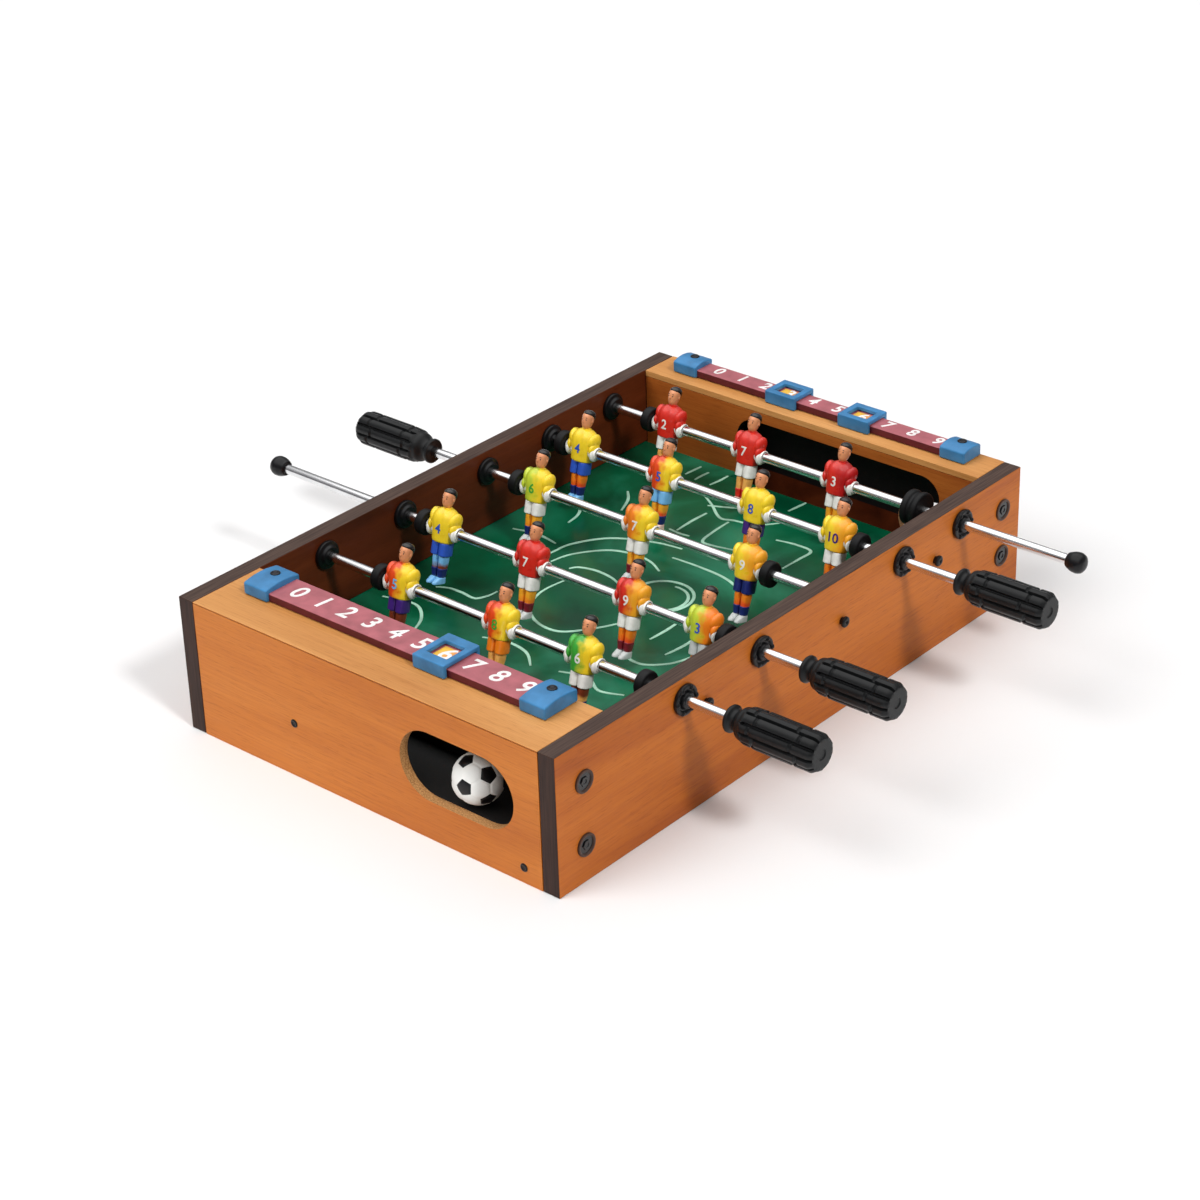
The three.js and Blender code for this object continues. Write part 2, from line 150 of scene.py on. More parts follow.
def wood(name, light, middle, dark, along, contrast=0.35):
    """Satin veneer. Its fibres run along one axis."""
    paint = Paint(name, 0.5, Coat_Weight=0.05, Coat_Roughness=0.3, Specular_IOR_Level=0.22)
    broad, fine, short = [1.0] * 3, [1.0] * 3, [1.0] * 3
    broad[along], fine[along], short[along] = 0.12, 0.02, 0.06
    bands = paint.noise(paint.place(broad), 42, detail=5, distortion=0.5)
    fibres = paint.noise(paint.place(fine), 1100, detail=4)
    pores = paint.noise(paint.place(short), 1900, detail=2)
    grain = paint.ramp(bands, (0.28, dark), (0.50, middle), (0.72, light))
    white, shadow = (1, 1, 1, 1), (0.72, 0.56, 0.40, 1)
    streaks = paint.ramp(fibres, (0.36, shadow), (0.60, white))
    grain = paint.mix(contrast, grain, streaks, "MULTIPLY")
    dashes = paint.ramp(pores, (0.32, (0.50, 0.34, 0.22, 1)), (0.42, white))
    paint.colour(paint.mix(contrast, grain, dashes, "MULTIPLY"))
    paint.roughness(paint.spread(fibres, 0.40, 0.58))
    paint.bump(fibres, 0.00005, 0.5)
    return paint.material


def cut_board(name, middle, dark):
    """The cut edge of fibreboard: short random fibres."""
    paint = Paint(name, 0.75)
    fibres = paint.noise(paint.place(), 1400, detail=5)
    paint.colour(paint.ramp(fibres, (0.35, dark), (0.65, middle)))
    paint.bump(fibres, 0.0002, 0.6)
    return paint.material


def edge_strip(name, middle, dark, along):
    """The brown strip on the side boards' edges, ribbed along its length."""
    paint = Paint(name, 0.55, Specular_IOR_Level=0.25)
    narrow, broad = [1.0] * 3, [1.0] * 3
    narrow[along], broad[along] = 0.03, 0.25
    ribs = paint.noise(paint.place(narrow), 1300, detail=3)
    clouds = paint.noise(paint.place(broad), 60, detail=3)
    strip = paint.ramp(ribs, (0.32, dark), (0.66, middle))
    paint.colour(paint.mix(paint.spread(clouds, 0.0, 0.5), strip, shade(dark, 0.8)))
    paint.roughness(paint.spread(clouds, 0.45, 0.65))
    paint.bump(ribs, 0.0001, 0.6)
    return paint.material


def playing_surface():
    """Glossy printed green laminate that isn't quite flat."""
    paint = Paint("pitch_green", 0.2, Specular_IOR_Level=0.22)
    clouds = paint.noise(paint.place(), 16, detail=4, distortion=0.6)
    flecks = paint.noise(paint.place(), 1600, detail=2)
    deep, middle, pale = srgb(2, 70, 44), srgb(4, 90, 58), srgb(34, 126, 92)
    green = paint.ramp(clouds, (0.36, deep), (0.52, middle), (0.68, pale))
    paint.colour(paint.mix(paint.spread(flecks, 0.0, 0.2), green, srgb(2, 62, 40)))
    paint.roughness(paint.spread(clouds, 0.14, 0.3))
    paint.bump(paint.noise(paint.place((1, 0.7, 1)), 28, detail=1), 0.0012, 0.7)
    return paint.material


def plastic(name, colour, roughness=0.35, grain=2200, depth=0.00004, wear=0.18, gloss=0.35):
    """Moulded plastic with a fine grain and faint clouding."""
    paint = Paint(name, roughness, Specular_IOR_Level=gloss)
    clouds = paint.noise(paint.place(), 120, detail=3)
    skin = paint.noise(paint.place(), grain, detail=2)
    paint.colour(paint.ramp(clouds, (0.3, shade(colour, 1 - wear)), (0.7, shade(colour, 1 + wear))))
    paint.roughness(paint.spread(skin, roughness - 0.08, roughness + 0.1))
    paint.bump(skin, depth, 0.6)
    return paint.material


def polished_metal(name, colour, roughness=0.1):
    """Chrome plate with faint marks drawn along the rod."""
    paint = Paint(name, roughness, Metallic=1.0)
    lines = paint.noise(paint.place((0.02, 1, 1)), 900, detail=2)
    spots = paint.noise(paint.place(), 90, detail=4)
    paint.colour(paint.ramp(spots, (0.3, shade(colour, 0.88)), (0.7, colour)))
    paint.roughness(paint.spread(lines, roughness - 0.03, roughness + 0.08))
    paint.bump(lines, 0.000003, 0.4)
    return paint.material


def figure_paint(name, colour, other=None, axis=X_AXIS, start=-0.001, end=0.004):
    """Glossy brushed paint on a moulded figure. A second colour takes over along one axis."""
    paint = Paint(name, 0.3, Coat_Weight=0.4, Coat_Roughness=0.12)
    clouds = paint.noise(paint.place(), 260, detail=3)
    base = paint.ramp(clouds, (0.32, shade(colour, 0.86)), (0.68, shade(colour, 1.08)))
    if other:
        wander = paint.spread(clouds, start - end, end - start)
        along = paint.add(paint.coordinate(axis), wander)
        base = paint.mix(paint.spread(along, 0.0, 1.0, start, end), base, other)
    paint.colour(base)
    paint.roughness(paint.spread(clouds, 0.22, 0.38))
    paint.bump(paint.noise(paint.place(), 1500, detail=2), 0.00005, 0.5)
    return paint.material


WHITE = srgb(240, 238, 232)
ORANGE_WOOD = (srgb(210, 128, 52), srgb(201, 118, 44), srgb(188, 105, 36))
# Side boards' colours: the end veneer in painted shade, darker and redder.
RED_SHADED_WOOD = (srgb(200, 113, 38), srgb(190, 104, 32), srgb(170, 86, 24))
# Inside faces' colours: the veneer in deep painted shade.
INSIDE_SHADE_WOOD = (srgb(112, 52, 24), srgb(92, 40, 17), srgb(66, 27, 11))
# Goal wall colours: the veneer in painted shade, darker inside the box.
GOAL_SHADE_BROWN = (srgb(186, 106, 42), srgb(168, 90, 34), srgb(140, 70, 24))
# Top board colours: the veneer with a painted highlight, paler than the end panels.
TOP_HIGHLIGHT_WOOD = (srgb(222, 162, 98), srgb(208, 146, 82), srgb(192, 128, 66))

END_WOOD = wood("end_veneer", *ORANGE_WOOD, X_AXIS, 0.3)
# Side veneer: the same wood as the end panels, in painted shade.
SIDE_WOOD = wood("side_veneer", *RED_SHADED_WOOD, Y_AXIS)
# Inside veneer: the same wood in deep painted shade, for inward faces and the lower inside of the end
# panels.
SIDE_WOOD_INSIDE_SHADE = wood("side_veneer_inside_shade", *INSIDE_SHADE_WOOD, Y_AXIS)
# Goal veneer: the same wood in painted shade.
GOAL_SHADED_WOOD = wood("goal_veneer_shaded", *GOAL_SHADE_BROWN, X_AXIS)
# Top veneer: the same wood with a painted highlight on the top faces.
TOP_WOOD = wood("top_veneer_highlight", *TOP_HIGHLIGHT_WOOD, X_AXIS, 0.3)
EDGE_STRIP = edge_strip("side_edge_strip", srgb(92, 72, 62), srgb(54, 38, 32), Y_AXIS)
END_STRIP = edge_strip("side_end_strip", srgb(66, 42, 32), srgb(38, 22, 17), Z_AXIS)
FIBREBOARD = cut_board("fibreboard_edge", srgb(198, 148, 92), srgb(146, 98, 54))
# Black board: painted shade for the dark inside of the box, on a fibreboard texture.
PAINTED_SHADE_BLACK = cut_board("painted_shade_black_board", srgb(14, 12, 12), srgb(6, 5, 5))
PITCH_GREEN = playing_surface()
PITCH_WHITE = plastic("pitch_marking", srgb(168, 214, 190), 0.25)
BAR_MAUVE = plastic("score_bar_top", srgb(172, 96, 104), 0.4)
BAR_MAROON = plastic("score_bar_side", srgb(88, 26, 38), 0.4)
NUMERAL_WHITE = plastic("numeral_white", srgb(246, 240, 236), 0.4)
BLUE_PLASTIC = plastic("blue_plastic", srgb(58, 124, 174), 0.38)
PATCH_AMBER = figure_paint("number_patch", srgb(246, 190, 60), srgb(232, 132, 76))
BLACK_PLASTIC = plastic("black_plastic", srgb(15, 15, 17), 0.3, gloss=0.3)
GLOSS_BLACK = plastic("black_socket", srgb(8, 9, 12), 0.15, gloss=0.6)
BRONZE = plastic("cap_rim", srgb(66, 44, 34), 0.4)
GRIP_BLACK = plastic("grip_black", srgb(17, 18, 19), 0.4, grain=1800, depth=0.00006, gloss=0.28)
RUBBER = plastic("black_rubber", srgb(15, 15, 16), 0.5, grain=1500, depth=0.0001, gloss=0.25)
CHROME = polished_metal("rod_chrome", (0.86, 0.86, 0.87, 1), 0.16)
DARK_STEEL = polished_metal("screw_steel", (0.05, 0.05, 0.055, 1), 0.3)
BALL_WHITE = plastic("ball_white", srgb(232, 232, 228), 0.4, grain=1400, depth=0.0001, wear=0.04)
BALL_BLACK = plastic("ball_black", srgb(14, 14, 16), 0.35, grain=1400, depth=0.0001)


# ---------- meshes ----------
SHARP = math.radians(38)


def add_object(name, data):
    obj = bpy.data.objects.new(name, data)
    bpy.context.scene.collection.objects.link(obj)
    return obj


def piece(name, bm, materials, body, nodes=(), at=(0, 0, 0), turned=False, crease=38, lean=0.0):
    """Makes a mesh drawn in millimetres into a piece that rides on a body."""
    bmesh.ops.scale(bm, vec=(MM,) * 3, verts=bm.verts)
    bmesh.ops.recalc_face_normals(bm, faces=bm.faces)
    mesh = bpy.data.meshes.new(name)
    bm.to_mesh(mesh)
    bm.free()
    for material in materials:
        mesh.materials.append(material)
    mesh.polygons.foreach_set("use_smooth", [True] * len(mesh.polygons))
    mesh.set_sharp_from_angle(angle=math.radians(crease))
    obj = add_object(name, mesh)
    turn = Matrix.Rotation(math.pi if turned else 0, 4, "Z") @ Matrix.Rotation(-lean, 4, "X")
    obj.matrix_world = Matrix.Translation(Vector(at) * MM) @ turn
    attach(obj, body)
    if nodes:
        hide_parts(*nodes)
    return obj


def soften(obj, width=0.4, segments=2):
    """Rounds the piece's sharp edges."""
    bevel = obj.modifiers.new("soft_edges", "BEVEL")
    bevel.width = width * MM
    bevel.segments = segments
    bevel.limit_method = "ANGLE"
    bevel.angle_limit = SHARP
    bevel.harden_normals = True
    return obj


def eased(points, radius, steps=3):
    """Rounds the inner corners of an open line."""
    line = [Vector(points[0])]
    for before, corner, after in zip(points, points[1:], points[2:]):
        back, corner, ahead = Vector(before), Vector(corner), Vector(after)
        start = corner + (back - corner).normalized() * min(radius, (back - corner).length / 2)
        end = corner + (ahead - corner).normalized() * min(radius, (ahead - corner).length / 2)
        for i in range(steps + 1):
            t = i / steps
            line.append(start * (1 - t) ** 2 + corner * 2 * t * (1 - t) + end * t * t)
    line.append(Vector(points[-1]))
    return line


def skin_rings(bm, rings, material=0, closed=False):
    """Joins rings of corners. A ring of one corner is a pole."""
    sides = max(len(ring) for ring in rings)
    pairs = list(zip(rings, rings[1:]))
    if closed:
        pairs.append((rings[-1], rings[0]))
    for near, far in pairs:
        for i in range(sides):
            j = (i + 1) % sides
            corners = [near[i % len(near)], near[j % len(near)], far[j % len(far)], far[i % len(far)]]
            corners = list(dict.fromkeys(corners))
            if len(corners) > 2:
                bm.faces.new(corners).material_index = material


def circle(bm, x, radius, sides, shift=0.0):
    """A ring around the X axis. The shift is a share of one side."""
    turns = [2 * math.pi * (i + shift) / sides for i in range(sides)]
    return [bm.verts.new((x, radius * math.cos(t), radius * math.sin(t))) for t in turns]


def lathe(bm, profile, sides=48, material=0, closed=False):
    """Turns (x, radius) points around the X axis."""
    on_axis = 1e-6
    rings = [circle(bm, x, radius, sides) if radius > on_axis else [bm.verts.new((x, 0, 0))]
             for x, radius in profile]
    skin_rings(bm, rings, material, closed)


def turned_piece(profile, sides=48, closed=False):
    bm = bmesh.new()
    lathe(bm, profile, sides, closed=closed)
    return bm


def put(bm, place, degrees=0, axis="Z"):
    """Turns the whole mesh around the origin, then moves it to its place."""
    bmesh.ops.rotate(bm, matrix=Matrix.Rotation(math.radians(degrees), 3, axis), verts=bm.verts)
    bmesh.ops.translate(bm, vec=place, verts=bm.verts)


def arc(centre_x, centre_y, radius, start, end, steps):
    """Points of an arc. Angles are in degrees."""
    points = []
    for i in range(steps + 1):
        turn = math.radians(start + (end - start) * i / steps)
        points.append((centre_x + radius * math.cos(turn), centre_y + radius * math.sin(turn)))
    return points


def slab(outline, holes, axis, start, end):
    """A flat outline with holes, made solid along an axis. Hole walls get material 1.

    Its faces are made one by one in a fixed order, so that every run gives the same mesh.
    """
    across = [i for i in range(3) if i != axis]

    def corner(point):
        place = [0.0] * 3
        place[across[0]], place[across[1]] = point
        place[axis] = start
        return place

    bm = bmesh.new()
    rings = [[bm.verts.new(corner(point)) for point in loop] for loop in [outline] + holes]
    edges = [bm.edges.new((vert, ring[i - 1])) for ring in rings for i, vert in enumerate(ring)]
    bmesh.ops.triangle_fill(bm, edges=edges, use_beauty=True)
    bmesh.ops.dissolve_limit(bm, angle_limit=0.01, verts=bm.verts, edges=bm.edges)
    in_hole = {vert for ring in rings[1:] for vert in ring if vert.is_valid}
    walls = [list(edge.verts) for edge in bm.edges if edge.is_boundary]
    caps = [list(face.verts) for face in bm.faces]
    step = Vector([end - start if i == axis else 0.0 for i in range(3)])
    raised = {vert: bm.verts.new(vert.co + step) for vert in list(bm.verts)}
    for cap in caps:
        bm.faces.new([raised[vert] for vert in reversed(cap)])
    for near, far in walls:
        wall = bm.faces.new((near, far, raised[far], raised[near]))
        wall.material_index = 1 if near in in_hole and far in in_hole else 0
    bmesh.ops.recalc_face_normals(bm, faces=bm.faces)
    return bm


def rectangle(x0, x1, y0, y1):
    return [(x0, y0), (x1, y0), (x1, y1), (x0, y1)]


def cad_copy(node):
    """The CAD node's own shape, as a mesh in millimetres with whole flat faces."""
    bm = bmesh.new()
    bm.from_mesh(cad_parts[node].data)
    bmesh.ops.scale(bm, vec=(1 / MM,) * 3, verts=bm.verts)
    bmesh.ops.remove_doubles(bm, verts=bm.verts, dist=0.001)
    bmesh.ops.dissolve_limit(bm, angle_limit=math.radians(1), verts=bm.verts, edges=bm.edges)
    bm.normal_update()
    return bm


def evaluated(holder):
    """The holder's final mesh. The holder itself is removed."""
    depsgraph = bpy.context.evaluated_depsgraph_get()
    mesh = bpy.data.meshes.new_from_object(holder.evaluated_get(depsgraph))
    bpy.data.objects.remove(holder)
    return mesh


def number_mesh(text, height, thickness=0.12, weight=0.0, slant=0.0):
    """A plain numeral, flat in X and Y, with its middle at the origin, in millimetres."""
    curve = bpy.data.curves.new("numeral", "FONT")
    curve.body = text
    curve.size = height / 0.7
    curve.extrude = thickness / 2
    curve.offset = weight
    curve.shear = slant
    curve.resolution_u = 6
    curve.align_x = "CENTER"
    curve.align_y = "CENTER"
    mesh = evaluated(add_object("numeral", curve))
    bpy.data.curves.remove(curve)
    return mesh


# ---------- wooden body ----------
FRAME_BODY = "frame"
EASE = 0.5


def side_board(side, outward):
    node = f"side_board_{side}"
    bm = cad_copy(node)
    middle = centre_of(node).x
    for face in bm.faces:
        if abs(face.normal.y) > 0.5:
            face.material_index = 3
        elif abs(face.normal.x) < 0.5:
            face.material_index = 1
        elif (face.calc_center_median().x - middle) * outward < 0:
            face.material_index = 2
    # Outer faces take the side veneer in painted shade, inward faces its darker copy in painted shade.
    materials = [SIDE_WOOD, EDGE_STRIP, SIDE_WOOD_INSIDE_SHADE, END_STRIP]
    soften(piece(f"side_panel_{side}", bm, materials, FRAME_BODY, [node]), EASE)


def top_board(end, outward):
    node = f"top_board_{end}"
    bm = cad_copy(node)
    for face in bm.faces:
        face.material_index = 1 if face.normal.y * outward > 0.5 else 0
    # Top faces take the veneer with its painted highlight, the front edge the end veneer.
    materials = [TOP_WOOD, END_WOOD]
    soften(piece(f"top_panel_{end}", bm, materials, FRAME_BODY, [node]), 0.15)


def slot_outline(centre_x, centre_z, width, height, steps=24):
    radius = height / 2
    reach = width / 2 - radius
    right = arc(centre_x + reach, centre_z, radius, -90, 90, steps)
    left = arc(centre_x - reach, centre_z, radius, 90, 270, steps)
    return right + left


def end_panel(end, slot, outward, paint_edge, drop=2.8):
    """The panel with the ball return, mitred under its top board.

    The mitre falls by the drop from the outer face to the inner face. Inside, the panel carries
    painted shade: black above the paint's edge and the darker veneer copy below. The slot's edge is bare
    fibreboard.
    """
    node = f"end_panel_{end}"
    low, high = box_of(node)
    outline = rectangle(low.x, high.x, low.z, high.z)
    bm = slab(outline, [slot], Y_AXIS, low.y, high.y)
    bm.normal_update()
    cut = [*bm.verts, *bm.edges, *bm.faces]
    bmesh.ops.bisect_plane(bm, geom=cut, plane_co=(0, 0, paint_edge), plane_no=(0, 0, 1))
    # Inward faces get painted shade: black above the paint's edge, the darker veneer copy below.
    for face in bm.faces:
        if face.normal.y * outward < -0.5:
            face.material_index = 2 if face.calc_center_median().z > paint_edge else 3
    inner = low.y if outward > 0 else high.y
    for vert in bm.verts:
        if abs(vert.co.y - inner) < 0.01 and high.z - vert.co.z < 0.01:
            vert.co.z -= drop
    materials = [END_WOOD, FIBREBOARD, PAINTED_SHADE_BLACK, SIDE_WOOD_INSIDE_SHADE]
    soften(piece(f"end_face_{end}", bm, materials, FRAME_BODY, [node]), 0.15)


def goal_outline(centre, bottom, top, width, corner):
    half = width / 2
    right = arc(centre + half - corner, top - corner, corner, 0, 90, 10)
    left = arc(centre - half + corner, top - corner, corner, 90, 180, 10)
    return [(centre - half, bottom), (centre + half, bottom)] + right + left


def goal_board(end, opening, dark_side):
    """The wall behind the pitch. Its far side and the opening's edge are painted black as painted shade.
    """
    node = f"goal_board_{end}"
    low, high = box_of(node)
    bm = slab(rectangle(low.x, high.x, low.z, high.z), [opening], Y_AXIS, low.y, high.y)
    bm.normal_update()
    for face in bm.faces:
        is_back = face.normal.y * dark_side > 0.5
        face.material_index = 1 if is_back or face.material_index == 1 else 0
    # Goal wall in painted shade; its back and the opening's edge painted black as painted shade.
    materials = [GOAL_SHADED_WOOD, PAINTED_SHADE_BLACK]
    soften(piece(f"goal_wall_{end}", bm, materials, FRAME_BODY, [node]), 0.35)


# Ball return slots: (centre x, centre z, width, height).
FRONT_SLOT = (57, 37.5, 67, 35)
REAR_SLOT = (64, 23, 38, 28)
GOAL = {"top": 61, "width": 127, "corner": 11}
GOAL_SHIFT = 19.5
GOAL_GAP = 0.3


def wooden_body():
    side_board("left", -1)
    side_board("right", 1)
    top_board("front", -1)
    top_board("rear", 1)
    # The last argument is the height on the inside where painted black shade gives way to the veneer in
    # painted shade.
    end_panel("front", slot_outline(*FRONT_SLOT), -1, 0.5)
    end_panel("rear", slot_outline(*REAR_SLOT), 1, 23.7)
    pitch_top = box_of("pitch_board")[1].z
    tray_bottom = box_of("ball_tray_rear")[0].z
    goal_board("front", goal_outline(-GOAL_SHIFT, pitch_top + GOAL_GAP, **GOAL), -1)
    goal_board("rear", goal_outline(GOAL_SHIFT, tray_bottom - GOAL_GAP, **GOAL), 1)
    # The ball trays are painted black: painted shade inside the box.
    for node in ("ball_tray_front", "ball_tray_rear"):
        tray = piece(f"{node}_board", cad_copy(node), [PAINTED_SHADE_BLACK], FRAME_BODY, [node])
        soften(tray, 0.3)
    pitch = piece("pitch_surface", cad_copy("pitch_board"), [PITCH_GREEN], FRAME_BODY,
                  ["pitch_board"])
    soften(pitch, 0.2)


# ---------- markings on the pitch ----------
LINE_WIDTH = 1.6
LINE_HEIGHT = 0.12
LINE_ROOT = 0.1


def curve_through(points, steps=6):
    """A smooth line through the given points."""
    ends = [points[0]] + list(points) + [points[-1]]
    line = []
    for before, start, end, after in zip(ends, ends[1:], ends[2:], ends[3:]):
        before, start, end, after = (Vector(point) for point in (before, start, end, after))
        for i in range(steps):
            t = i / steps
            near = start * 2 + (end - before) * t
            far = (before * 2 - start * 5 + end * 4 - after) * t ** 2
            line.append(tuple((near + far + (start * 3 - before - end * 3 + after) * t ** 3) / 2))
    line.append(tuple(points[-1]))
    return line


def marking(bm, points, index, closed=False):
    """One printed line: a thin closed ribbon on the pitch, a little wider in its middle."""
    surface = box_of("pitch_board")[1].z
    top = surface + LINE_HEIGHT + 0.004 * index
    bottom = surface - LINE_ROOT
    rings = []
    last = len(points) - 1
    for i, point in enumerate(points):
        before = points[i - 1] if closed or i else point
        after = points[(i + 1) % len(points)] if closed or i < last else point
        along = (Vector(after) - Vector(before)).normalized()
        swell = 1 if closed else 0.62 + 0.38 * math.sin(math.pi * i / last)
        side = Vector((-along.y, along.x)) * swell * LINE_WIDTH / 2
        left, right = Vector(point) + side, Vector(point) - side
        rings.append([
            bm.verts.new((left.x, left.y, bottom)), bm.verts.new((left.x, left.y, top)),
            bm.verts.new((right.x, right.y, top)), bm.verts.new((right.x, right.y, bottom))])
    skin_rings(bm, rings, closed=closed)
    if not closed:
        bm.faces.new(rings[0])
        bm.faces.new(rings[-1])


# The printed lines are loose hand-drawn curves: points of (x, y) on the pitch.
DRAWN_LINES = [
    [(-63, 143), (-63.5, 138), (-64, 131)],
    [(-55.5, 140), (-56, 135), (-56, 129)],
    [(-45, 143), (-45, 137), (-46, 129)],
    [(6, 143), (5.5, 138), (4.5, 130)],
    [(-40, 117.5), (-31, 112), (-18.5, 103), (-11, 105), (1, 108), (11, 119)],
    [(-32, 110), (-18, 117), (-13, 122)],
    [(-75, 97.5), (-68.5, 90), (-63.5, 79)],
    [(-27, 103), (-27.5, 92), (-27, 79)],
    [(-31, 78), (-24, 77.2), (-18, 78)],
    [(-12, 102), (-11.5, 90), (-9.5, 78), (-3, 77), (10, 80)],
    [(19, 101), (29, 103), (40, 102), (40.5, 92), (40, 79)],
    [(-10, 55), (6, 55.5), (24, 54), (38, 48), (50, 38)],
    [(-62, 12), (-61, 24), (-59, 36), (-48, 52), (-28, 62), (-12, 65)],
    [(-55, 15), (-52, 27), (-41, 41), (-28, 46), (-16, 45), (-6, 40)],
    [(-43, 15), (-40, 19), (-31, 21.5), (-20, 20.5), (-12, 17)],
    [(-36, 8), (-38, -10), (-33, -25), (-24, -33), (-14, -36.5), (-4, -35), (5, -25), (13, -11),
     (16, 2)],
    [(34, 8), (34.5, -4), (34, -15)],
    [(50, 2), (50.5, -10), (49, -22)],
    [(28, -22), (32, -30), (38, -35), (47, -35), (56, -27), (60, -16), (61, -4)],
    [(-82, -39), (-76, -36), (-68, -35.5), (-59, -36), (-55.5, -30), (-55, -24)],
    [(-94, 30), (-80, 33), (-66, 31)],
    [(-92, 72), (-84, 70), (-78, 62), (-76, 52)],
    [(-96, -62), (-78, -58), (-66, -66), (-60, -78)],
    [(-30, -62), (-18, -58), (-4, -60), (6, -68)],
    [(20, -64), (34, -60), (46, -66), (58, -62)],
    [(-70, -112), (-52, -104), (-30, -108), (-8, -102), (14, -106), (40, -100), (66, -108)],
    [(70, 66), (72, 52), (70, 38)],
    [(82, 20), (84, 2), (80, -16)],
]


def pitch_markings():
    lines = [(curve_through(points), False) for points in DRAWN_LINES]
    lines.append((arc(11.5, 21, 15.5, 0, 352, 44), True))
    lines.append((arc(12.5, 20, 12.6, -60, 100, 20), False))
    bm = bmesh.new()
    for index, (points, closed) in enumerate(lines):
        marking(bm, points, index, closed)
    piece("pitch_lines", bm, [PITCH_WHITE], FRAME_BODY)


# ---------- score counters ----------
DIGIT_PITCH = 15.4
DIGIT_SHIFT = 2.1


def prism_along_x(outline, x0, x1):
    bm = bmesh.new()
    rings = [[bm.verts.new((x, y, z)) for y, z in outline] for x in (x0, x1)]
    skin_rings(bm, rings)
    for ring in rings:
        bm.faces.new(ring)
    return bm


def score_bar(end, marked):
    node = f"score_bar_{end}"
    bm = cad_copy(node)
    for face in bm.faces:
        face.material_index = 0 if face.normal.z > 0.5 else 1
    bar = piece(f"number_bar_{end}", bm, [BAR_MAUVE, BAR_MAROON], FRAME_BODY, [node])
    soften(bar, 0.7, 3)
    low, high = box_of(node)
    digits = bmesh.new()
    height = min(9.6, (high.y - low.y) * 0.6)
    for number in range(10):
        mesh = number_mesh(str(number), height, thickness=0.3, weight=0.22, slant=0.12)
        x = DIGIT_SHIFT + DIGIT_PITCH * (number - 4.5)
        mesh.transform(Matrix.Translation((x, (low.y + high.y) / 2, high.z)))
        digits.from_mesh(mesh)
        bpy.data.meshes.remove(mesh)
    bmesh.ops.remove_doubles(digits, verts=digits.verts, dist=0.001)
    piece(f"bar_numerals_{end}", digits, [NUMERAL_WHITE], FRAME_BODY)
    for number in marked:
        centre = (DIGIT_SHIFT + DIGIT_PITCH * (number - 4.5), (low.y + high.y) / 2, high.z)
        half_x, half_y = 5.2, height / 2 + 0.5
        patch = slab(rectangle(-half_x, half_x, -half_y, half_y), [], Z_AXIS, -0.3, 0.06)
        piece(f"number_patch_{end}_{number}", patch, [PATCH_AMBER], FRAME_BODY, (), centre)


def end_block(end, side):
    node = f"score_block_{end}_{side}"
    low, high = box_of(node)
    middle = (low + high) / 2
    half = (high.y - low.y) / 2
    crown = 1.4
    steps = 14
    outline = [(low.y, low.z), (high.y, low.z)]
    for i in range(steps + 1):
        along = 1 - 2 * i / steps
        outline.append((middle.y + half * along, high.z - crown * along * along))
    block = piece(f"bar_clamp_{end}_{side}", prism_along_x(outline, low.x, high.x), [BLUE_PLASTIC],
                  FRAME_BODY, [node])
    soften(block, 0.8, 3)
    screw = screw_head(2.4, 0.6, 1.5)
    put(screw, (middle.x, middle.y + half * 0.25, high.z), -90, "Y")
    piece(f"clamp_screw_{end}_{side}", screw, [DARK_STEEL], FRAME_BODY)


def counter(end, index, window=12.0, rim=1.0, gap=0.3):
    """A window that slides along the bar: a bridge over it with an open middle."""
    node = f"score_slider_{end}_{index}"
    low, high = box_of(node)
    bar_low, bar_high = box_of(f"score_bar_{end}")
    middle = (low + high) / 2
    half = min(window / 2, (bar_high.y - bar_low.y) / 2 - rim)
    front, back = bar_low.y - gap, bar_high.y + gap
    near, far = middle.y - half, middle.y + half
    roof = bar_high.z + gap
    outline = [(low.y, low.z), (front, low.z), (front, roof), (near, roof), (far, roof), (back, roof),
               (back, low.z), (high.y, low.z), (high.y, high.z), (far, high.z), (near, high.z),
               (low.y, high.z)]
    roof_edge, top_edge = (3, 4), (9, 10)
    bm = bmesh.new()
    places = (low.x, middle.x - window / 2, middle.x + window / 2, high.x)
    rings = [[bm.verts.new((x, y, z)) for y, z in outline] for x in places]
    for span in range(3):
        start, stop = rings[span:span + 2]
        for i in range(len(outline)):
            if span != 1 or i not in (roof_edge[0], top_edge[0]):
                j = (i + 1) % len(outline)
                bm.faces.new((start[i], start[j], stop[j], stop[i]))
    for ring in rings[1:3]:
        bm.faces.new([ring[i] for i in roof_edge + top_edge])
    for lower, upper in zip(roof_edge, reversed(top_edge)):
        bm.faces.new((rings[1][lower], rings[2][lower], rings[2][upper], rings[1][upper]))
    for ring in (rings[0], rings[3]):
        bm.faces.new(ring)
    window_piece = piece(f"window_{end}_{index}", bm, [BLUE_PLASTIC], f"counter_{end}_{index}",
                         [node])
    soften(window_piece, 0.7, 3)


# ---------- screws and caps ----------
def screw_head(radius, height, socket):
    """A domed head with a recess, standing along +X from the origin."""
    floor_height = min(0.15, height / 2)
    profile = eased([(-0.6, 0), (-0.6, radius), (height * 0.4, radius), (height, radius * 0.8),
                     (height, socket), (floor_height, socket * 0.8), (floor_height, 0)], 0.2)
    return turned_piece(profile, 32)


def bolt(radius=2.7, height=3.0):
    """A round bolt head that stands out on a short neck."""
    profile = eased([(-0.6, 0), (-0.6, radius * 0.7), (height * 0.4, radius * 0.7),
                     (height * 0.45, radius), (height * 0.85, radius), (height, radius * 0.7),
                     (height, 0.9), (height - 0.7, 0.6), (height - 0.7, 0)], 0.25)
    return turned_piece(profile, 32)


